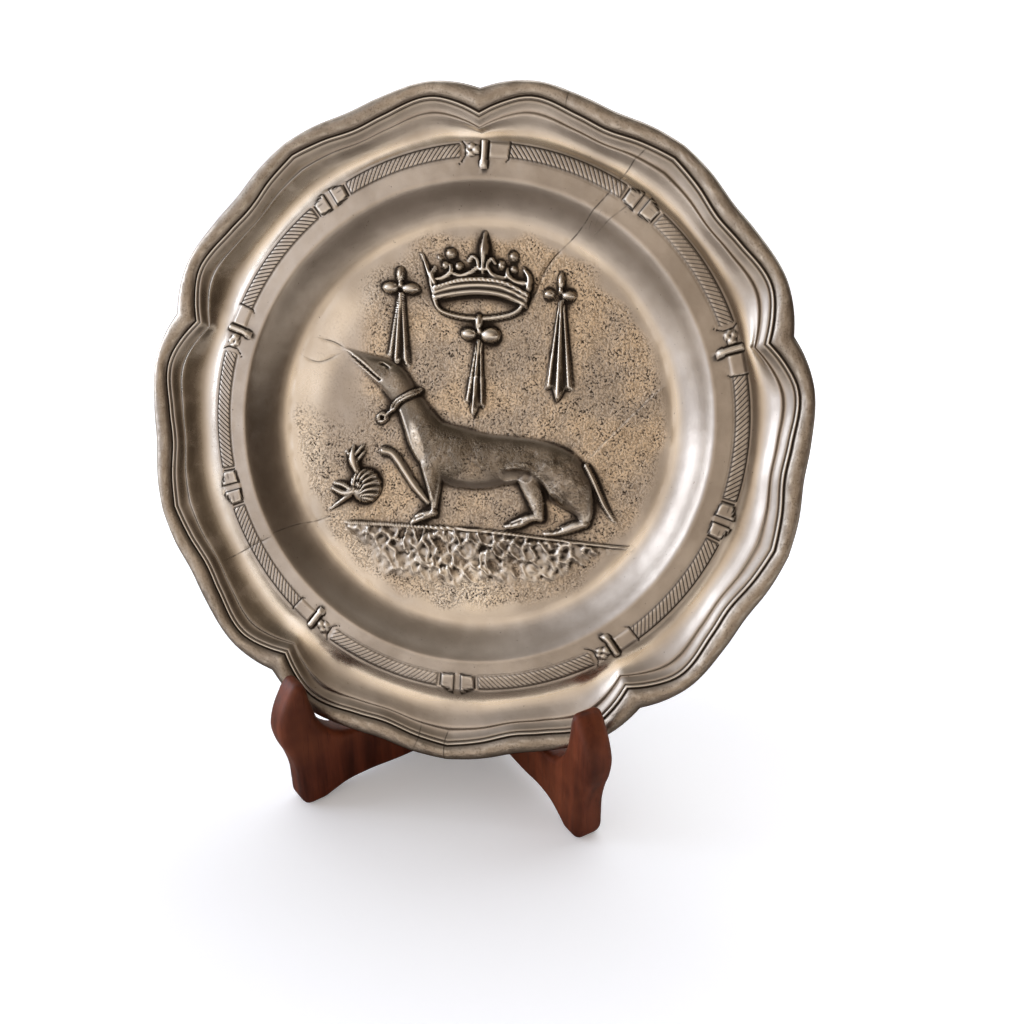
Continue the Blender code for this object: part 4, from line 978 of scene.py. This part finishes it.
def cut_slot(board, side):
    """Takes the other board's thickness out of this one, above or below the middle of the crossing."""
    low = -10.0 if side > 0 else HALVING_HEIGHT - TOUCH_GAP / 2
    high = HALVING_HEIGHT + TOUCH_GAP / 2 if side > 0 else 200.0
    half, reach = BOARD_THICKNESS / 2 + TOUCH_GAP, 40.0
    corners = np.array([(u, v, w) for w in (-half, half) for v in (low, high) for u in (-reach, reach)])
    shape = bmesh.new()
    verts = [shape.verts.new(p) for p in on_board(-side, corners[:, 0], corners[:, 1], corners[:, 2])]
    bmesh.ops.convex_hull(shape, input=verts)
    mesh = bpy.data.meshes.new("slot")
    shape.to_mesh(mesh)
    shape.free()
    cutter = bpy.data.objects.new("slot", mesh)
    bpy.context.scene.collection.objects.link(cutter)
    cut = board.modifiers.new("slot", "BOOLEAN")
    cut.operation, cut.object, cut.solver = "DIFFERENCE", cutter, "EXACT"
    finished = bpy.data.meshes.new_from_object(board.evaluated_get(bpy.context.evaluated_depsgraph_get()))
    board.modifiers.clear()
    board.data = finished
    bpy.data.objects.remove(cutter, do_unlink=True)
    finished.polygons.foreach_set("use_smooth", np.ones(len(finished.polygons), dtype=bool))
    finished.set_sharp_from_angle(angle=math.radians(40.0))


# %% Make the boards
boards = []
for node, (side, outline) in BOARDS.items():
    board = board_object("sawn_" + node, side, outline)
    cut_slot(board, side)
    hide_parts(node)
    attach(board, "root")
    boards.append(board)
    print(board.name, len(board.data.polygons), "faces")

# %% [markdown]
# ## Pewter
# Pewter is a soft grey metal. Its hollows get painted shade with a brown, dull patina, and painted
# highlights make it shine like cream. The attributes of the mesh steer both, and noise breaks up the tone.

# %% Material helpers
def new_material(name):
    """An empty node material with its Principled shader wired to the output."""
    made = bpy.data.materials.new(name)
    made.use_nodes = True
    tree = made.node_tree
    return made, tree, tree.nodes["Principled BSDF"]


def attribute(tree, label):
    node = tree.nodes.new("ShaderNodeAttribute")
    node.attribute_name = label
    return node.outputs["Fac"]


def ranged(tree, value, low, high, out_low=0.0, out_high=1.0, linear=False):
    """Maps low..high of a value to out_low..out_high, held at the ends, with an S curve unless linear."""
    node = tree.nodes.new("ShaderNodeMapRange")
    node.interpolation_type = "LINEAR" if linear else "SMOOTHSTEP"
    for label, setting in (("From Min", low), ("From Max", high), ("To Min", out_low), ("To Max", out_high)):
        node.inputs[label].default_value = setting
    tree.links.new(value, node.inputs["Value"])
    return node.outputs["Result"]


def maths(tree, operation, first, second):
    node = tree.nodes.new("ShaderNodeMath")
    node.operation = operation
    for socket, value in zip(node.inputs, (first, second)):
        if isinstance(value, (int, float)):
            socket.default_value = value
        else:
            tree.links.new(value, socket)
    return node.outputs[0]


def mixed(tree, share, first, second):
    """Blend of two colours, each a socket or a plain colour."""
    node = tree.nodes.new("ShaderNodeMix")
    node.data_type = "RGBA"
    tree.links.new(share, node.inputs[0])
    for socket, value in ((node.inputs[6], first), (node.inputs[7], second)):
        if isinstance(value, tuple):
            socket.default_value = (*value, 1.0)
        else:
            tree.links.new(value, socket)
    return node.outputs[2]


def noise(tree, scale, detail=3.0, roughness=0.55, stretch=None):
    """Noise on the object's own coordinates, scale in features to the metre, stretched if asked."""
    place = tree.nodes.new("ShaderNodeTexCoord").outputs["Object"]
    if stretch:
        mapping = tree.nodes.new("ShaderNodeMapping")
        mapping.inputs["Rotation"].default_value = stretch[0]
        mapping.inputs["Scale"].default_value = stretch[1]
        tree.links.new(place, mapping.inputs["Vector"])
        place = mapping.outputs["Vector"]
    node = tree.nodes.new("ShaderNodeTexNoise")
    node.inputs["Scale"].default_value = scale
    node.inputs["Detail"].default_value = detail
    node.inputs["Roughness"].default_value = roughness
    tree.links.new(place, node.inputs["Vector"])
    return node.outputs["Fac"]


def bump(tree, shader, height, distance, strength):
    node = tree.nodes.new("ShaderNodeBump")
    node.inputs["Distance"].default_value = distance
    node.inputs["Strength"].default_value = strength
    tree.links.new(height, node.inputs["Height"])
    tree.links.new(node.outputs["Normal"], shader.inputs["Normal"])


# %% Pewter material
PEWTER_CREST_HIGHLIGHT = (0.80, 0.745, 0.65)
PEWTER_HIGHLIGHT = (0.88, 0.79, 0.65)
PEWTER_LIGHT = (0.54, 0.485, 0.42)
PEWTER_MIDDLE = (0.41, 0.36, 0.305)
PEWTER_TARNISH_AND_SHADE = (0.17, 0.143, 0.11)
PEWTER_BROWN = (0.12, 0.092, 0.068)
PEWTER_DIRT_AND_SHADE = (0.028, 0.021, 0.016)
PEWTER_WARM_HIGHLIGHT = (0.68, 0.54, 0.38)
WORM_SCALE, PORE_SCALE, CRACK_WIDTH = 1250.0, 800.0, 0.42


def pewter_material():
    """Painted shade with brown patina in the hollows, grey between, a painted highlight on the crests;
    rougher in the dark lines and hollows.
    """
    made, tree, shader = new_material("aged_pewter")
    cloud, fine = noise(tree, 38.0, 5.0), noise(tree, 700.0, 3.0)
    tone = mixed(tree, ranged(tree, cloud, 0.36, 0.66), PEWTER_MIDDLE, PEWTER_LIGHT)
    # Painted warm highlight: the stippled ground and the ermine's coat are tinted gold
    warm_highlight = maths(tree, "MULTIPLY", attribute(tree, "stipple"), ranged(tree, cloud, 0.40, 0.60, 0.35, 0.95))
    tone = mixed(tree, warm_highlight, tone, PEWTER_WARM_HIGHLIGHT)
    # Tarnish, with painted shade at the left of the rim and well and on the ermine's upper back, turns the
    # tone dark brown
    patches = ranged(tree, noise(tree, 120.0, 4.0), 0.2, 0.6, 0.7, 1.2)
    tarnish_and_shade = maths(tree, "MULTIPLY", attribute(tree, "tarnish_and_shade"), patches)
    tone = mixed(tree, tarnish_and_shade, tone, PEWTER_TARNISH_AND_SHADE)
    # Painted highlight: pale cream where the highlight mark is high
    tone = mixed(tree, attribute(tree, "highlight_and_gloss"), tone, PEWTER_HIGHLIGHT)
    # Painted highlight: crests that stand above their surroundings are made pale
    crest_highlight = ranged(tree, attribute(tree, "near_depth"), -0.04, -0.30, 0.0, 0.9)
    tone = mixed(tree, crest_highlight, tone, PEWTER_CREST_HIGHLIGHT)
    # Painted shade with brown patina: the low places of the relief are darkened to brown
    lying_low = maths(tree, "ADD", attribute(tree, "far_depth"), maths(tree, "MULTIPLY", fine, 0.3))
    valley = ranged(tree, lying_low, 0.2, 1.0)
    tone = mixed(tree, valley, tone, PEWTER_BROWN)
    grain = noise(tree, WORM_SCALE, 2.0)
    bed = maths(tree, "MULTIPLY", ranged(tree, grain, 0.56, 0.42), attribute(tree, "stipple"))
    tone = mixed(tree, maths(tree, "MULTIPLY", bed, 0.42), tone, PEWTER_BROWN)
    scattered = ranged(tree, noise(tree, 260.0, 2.0), 0.42, 0.6)
    worm = maths(tree, "MULTIPLY", ranged(tree, grain, 0.45, 0.38), scattered)
    worm = maths(tree, "MULTIPLY", worm, attribute(tree, "stipple"))
    running = maths(tree, "SUBTRACT", maths(tree, "FRACT", attribute(tree, "stroke"), 0.0), 0.5)
    wave = maths(tree, "ABSOLUTE", running, 0.0)
    stroke = maths(tree, "MULTIPLY", ranged(tree, wave, 0.30, 0.44), attribute(tree, "ribbon"))
    from_crack = maths(tree, "ABSOLUTE", attribute(tree, "crack"), 0.0)
    split = ranged(tree, from_crack, CRACK_WIDTH, 0.3 * CRACK_WIDTH)
    split = maths(tree, "MULTIPLY", split, maths(tree, "MULTIPLY", attribute(tree, "crack_dark"),
                                                 ranged(tree, noise(tree, 300.0, 3.0), 0.3, 0.6, 0.35, 1.0)))
    pore = ranged(tree, noise(tree, PORE_SCALE, 2.0), 0.70, 0.78, 0.0, 0.6)
    # Painted shade: tight creases of the relief join the dark lines
    tight_crease_shade = ranged(tree, attribute(tree, "near_depth"), 0.05, 0.32)
    drawn = ranged(tree, attribute(tree, "engraved"), 0.2, 0.75)
    cut = maths(tree, "MAXIMUM", maths(tree, "MAXIMUM", worm, stroke), maths(tree, "MAXIMUM", drawn, tight_crease_shade))
    cut = maths(tree, "MAXIMUM", maths(tree, "MAXIMUM", cut, split), pore)
    # Dirt in worms, strokes, engraved lines, cracks and pores, and painted shade in tight creases, all go
    # nearly black
    tone = mixed(tree, maths(tree, "MULTIPLY", cut, 0.88), tone, PEWTER_DIRT_AND_SHADE)
    tree.links.new(tone, shader.inputs["Base Color"])
    rough = ranged(tree, maths(tree, "MAXIMUM", cut, valley), 0.0, 1.0, 0.36, 0.66)
    glossy = maths(tree, "MAXIMUM", attribute(tree, "highlight_and_gloss"), maths(tree, "MULTIPLY", tarnish_and_shade, 0.8))
    shine = ranged(tree, glossy, 0.0, 1.0, 0.0, 0.12)
    tree.links.new(maths(tree, "SUBTRACT", rough, shine), shader.inputs["Roughness"])
    shader.inputs["Metallic"].default_value = 1.0
    wavy = maths(tree, "MULTIPLY", noise(tree, 260.0), 0.8)
    height = maths(tree, "SUBTRACT", wavy, maths(tree, "MAXIMUM", bed, stroke))
    bump(tree, shader, height, 0.00012, 0.7)
    return made


plate.data.materials.append(pewter_material())

# %% [markdown]
# ## Mahogany
# The boards are stained a deep red brown. The grain runs up the lugs.

# %% Mahogany material
WOOD_DARK = (0.050, 0.010, 0.004)
WOOD_MIDDLE = (0.165, 0.036, 0.013)
WOOD_LIGHT = (0.31, 0.088, 0.034)


def mahogany_material(name, side):
    """Long streaks of noise down the board, with fine pores, under a satin varnish."""
    made, tree, shader = new_material(name)
    turn = (0.0, 0.0, side * -BOARD_TURN)
    streaks = noise(tree, 160.0, 5.0, 0.6, (turn, (1.0, 1.0, 0.09)))
    pores = noise(tree, 1500.0, 2.0, 0.5, (turn, (1.0, 1.0, 0.06)))
    cloud = noise(tree, 28.0, 3.0)
    tone = mixed(tree, ranged(tree, streaks, 0.32, 0.7), WOOD_DARK, WOOD_MIDDLE)
    tone = mixed(tree, ranged(tree, cloud, 0.45, 0.8, 0.0, 0.55), tone, WOOD_LIGHT)
    tone = mixed(tree, ranged(tree, pores, 0.62, 0.75, 0.0, 0.5), tone, WOOD_DARK)
    tree.links.new(tone, shader.inputs["Base Color"])
    tree.links.new(ranged(tree, streaks, 0.3, 0.7, 0.40, 0.52), shader.inputs["Roughness"])
    shader.inputs["Specular IOR Level"].default_value = 0.28
    bump(tree, shader, maths(tree, "ADD", pores, streaks), 0.0001, 0.4)
    return made


for board, side in zip(boards, (-1, 1)):
    board.data.materials.append(mahogany_material("stained_" + board.name, side))

# %% [markdown]
# ## Floor and light
# A pale floor curves up behind into a pale wall. Pewter mirrors what stands round it, so the light is
# what gives it its colour. The surroundings are a plain gradient from side to side: a cool window side
# at the left, a warm room in front and a dim corner at the right, darker towards the ceiling.

# %% Floor
def sweep():
    """The floor and wall as one sheet: a profile across depth and height, carried along X."""
    bend = np.linspace(0.0, math.pi / 2, 24)
    depth = np.concatenate([[-3.0], 0.9 + 0.5 * np.sin(bend), [1.4]])
    rise = np.concatenate([[0.0], 0.5 - 0.5 * np.cos(bend), [1.0]])
    points = np.array([(x, y, z - 0.0002) for x in (-4.0, 4.0) for y, z in zip(depth, rise)])
    count = len(depth)
    first = np.arange(count - 1)
    faces = np.stack([first, first + count, first + count + 1, first + 1], axis=1)
    return make_mesh("floor", points, faces, {})


FLOOR_SEEN, FLOOR_NEAR_SHADOW, FLOOR_FAR = (0.88, 0.90, 0.93), (0.26, 0.225, 0.20), (0.95, 0.88, 0.80)


def floor_material():
    """Pale where it is seen, with a glow that grows with distance; in the pewter's reflections a painted
    shadow near the stand, paler with distance.
    """
    made, tree, shader = new_material("pale_floor")
    ray = tree.nodes.new("ShaderNodeLightPath").outputs
    away = tree.nodes.new("ShaderNodeVectorMath")
    away.operation = "LENGTH"
    tree.links.new(tree.nodes.new("ShaderNodeTexCoord").outputs["Object"], away.inputs[0])
    distance = away.outputs["Value"]
    # Painted shadow: seen in reflections, the floor is dark near the stand
    mirrored = mixed(tree, ranged(tree, distance, 0.15, 0.7), FLOOR_NEAR_SHADOW, FLOOR_FAR)
    tree.links.new(mixed(tree, ray["Is Glossy Ray"], FLOOR_SEEN, mirrored), shader.inputs["Base Color"])
    # The floor glows for the camera, more with distance from the stand
    glow = maths(tree, "MULTIPLY", ray["Is Camera Ray"], ranged(tree, distance, 0.12, 0.5, 0.24, 0.6))
    tree.links.new(glow, shader.inputs["Emission Strength"])
    shader.inputs["Emission Color"].default_value = (1.0, 1.0, 1.0, 1.0)
    shader.inputs["Roughness"].default_value = 0.9
    return made


floor = sweep()
floor.data.materials.append(floor_material())


# %% Surroundings
SIDES = [(-1.0, (1.30, 1.36, 1.60)), (-0.75, (1.25, 1.25, 1.35)), (-0.4, (1.10, 0.98, 0.90)),
         (0.0, (0.80, 0.67, 0.55)), (0.35, (0.44, 0.35, 0.28)), (0.65, (0.17, 0.125, 0.095)),
         (1.0, (0.07, 0.05, 0.04))]
CEILING, BACK_WHITE, SEEN_WHITE = (0.10, 0.085, 0.07), (2.6, 2.65, 2.75), (1.0, 1.0, 1.0)


def surroundings():
    """World colour by direction: a ramp over x, dimmed by height, white behind, plain to the camera."""
    world = bpy.data.worlds.new("studio")
    world.use_nodes = True
    tree = world.node_tree
    direction = tree.nodes.new("ShaderNodeTexCoord").outputs["Generated"]
    parts = tree.nodes.new("ShaderNodeSeparateXYZ")
    tree.links.new(direction, parts.inputs[0])
    ramp = tree.nodes.new("ShaderNodeValToRGB")
    tree.links.new(ranged(tree, parts.outputs[0], -1.0, 1.0, linear=True), ramp.inputs["Fac"])
    stops = ramp.color_ramp.elements
    while len(stops) < len(SIDES):
        stops.new(0.5)
    for stop, (side, colour) in zip(stops, SIDES):
        stop.position = (side + 1.0) / 2.0
        stop.color = (*colour, 1.0)
    dim = ranged(tree, parts.outputs[2], 0.55, 0.95, 0.0, 0.75)
    tone = mixed(tree, dim, ramp.outputs["Color"], CEILING)
    backwards, upwards = ranged(tree, parts.outputs[1], 0.1, 0.5), ranged(tree, parts.outputs[2], 0.3, 0.5)
    tone = mixed(tree, maths(tree, "MULTIPLY", backwards, upwards), tone, BACK_WHITE)
    seen = tree.nodes.new("ShaderNodeLightPath").outputs["Is Camera Ray"]
    tree.links.new(mixed(tree, seen, tone, SEEN_WHITE), tree.nodes["Background"].inputs["Color"])
    return world


bpy.context.scene.world = surroundings()


# %% Lights
def soft_light(name, place, aim, width, height, power, colour):
    """An area light at a place, turned to its aim."""
    data = bpy.data.lights.new(name, "AREA")
    data.shape, data.size, data.size_y = "RECTANGLE", width, height
    data.energy, data.color = power, colour
    made = bpy.data.objects.new(name, data)
    made.location = place
    made.rotation_euler = (Vector(aim) - Vector(place)).to_track_quat("-Z", "Y").to_euler()
    bpy.context.scene.collection.objects.link(made)
    return made


AIM = (0.0, 0.0, 0.14)
soft_light("window", (-1.25, -0.1, 0.5), AIM, 0.7, 0.6, 5.0, (0.80, 0.87, 1.0))
bpy.context.scene.view_settings.view_transform = "Standard"
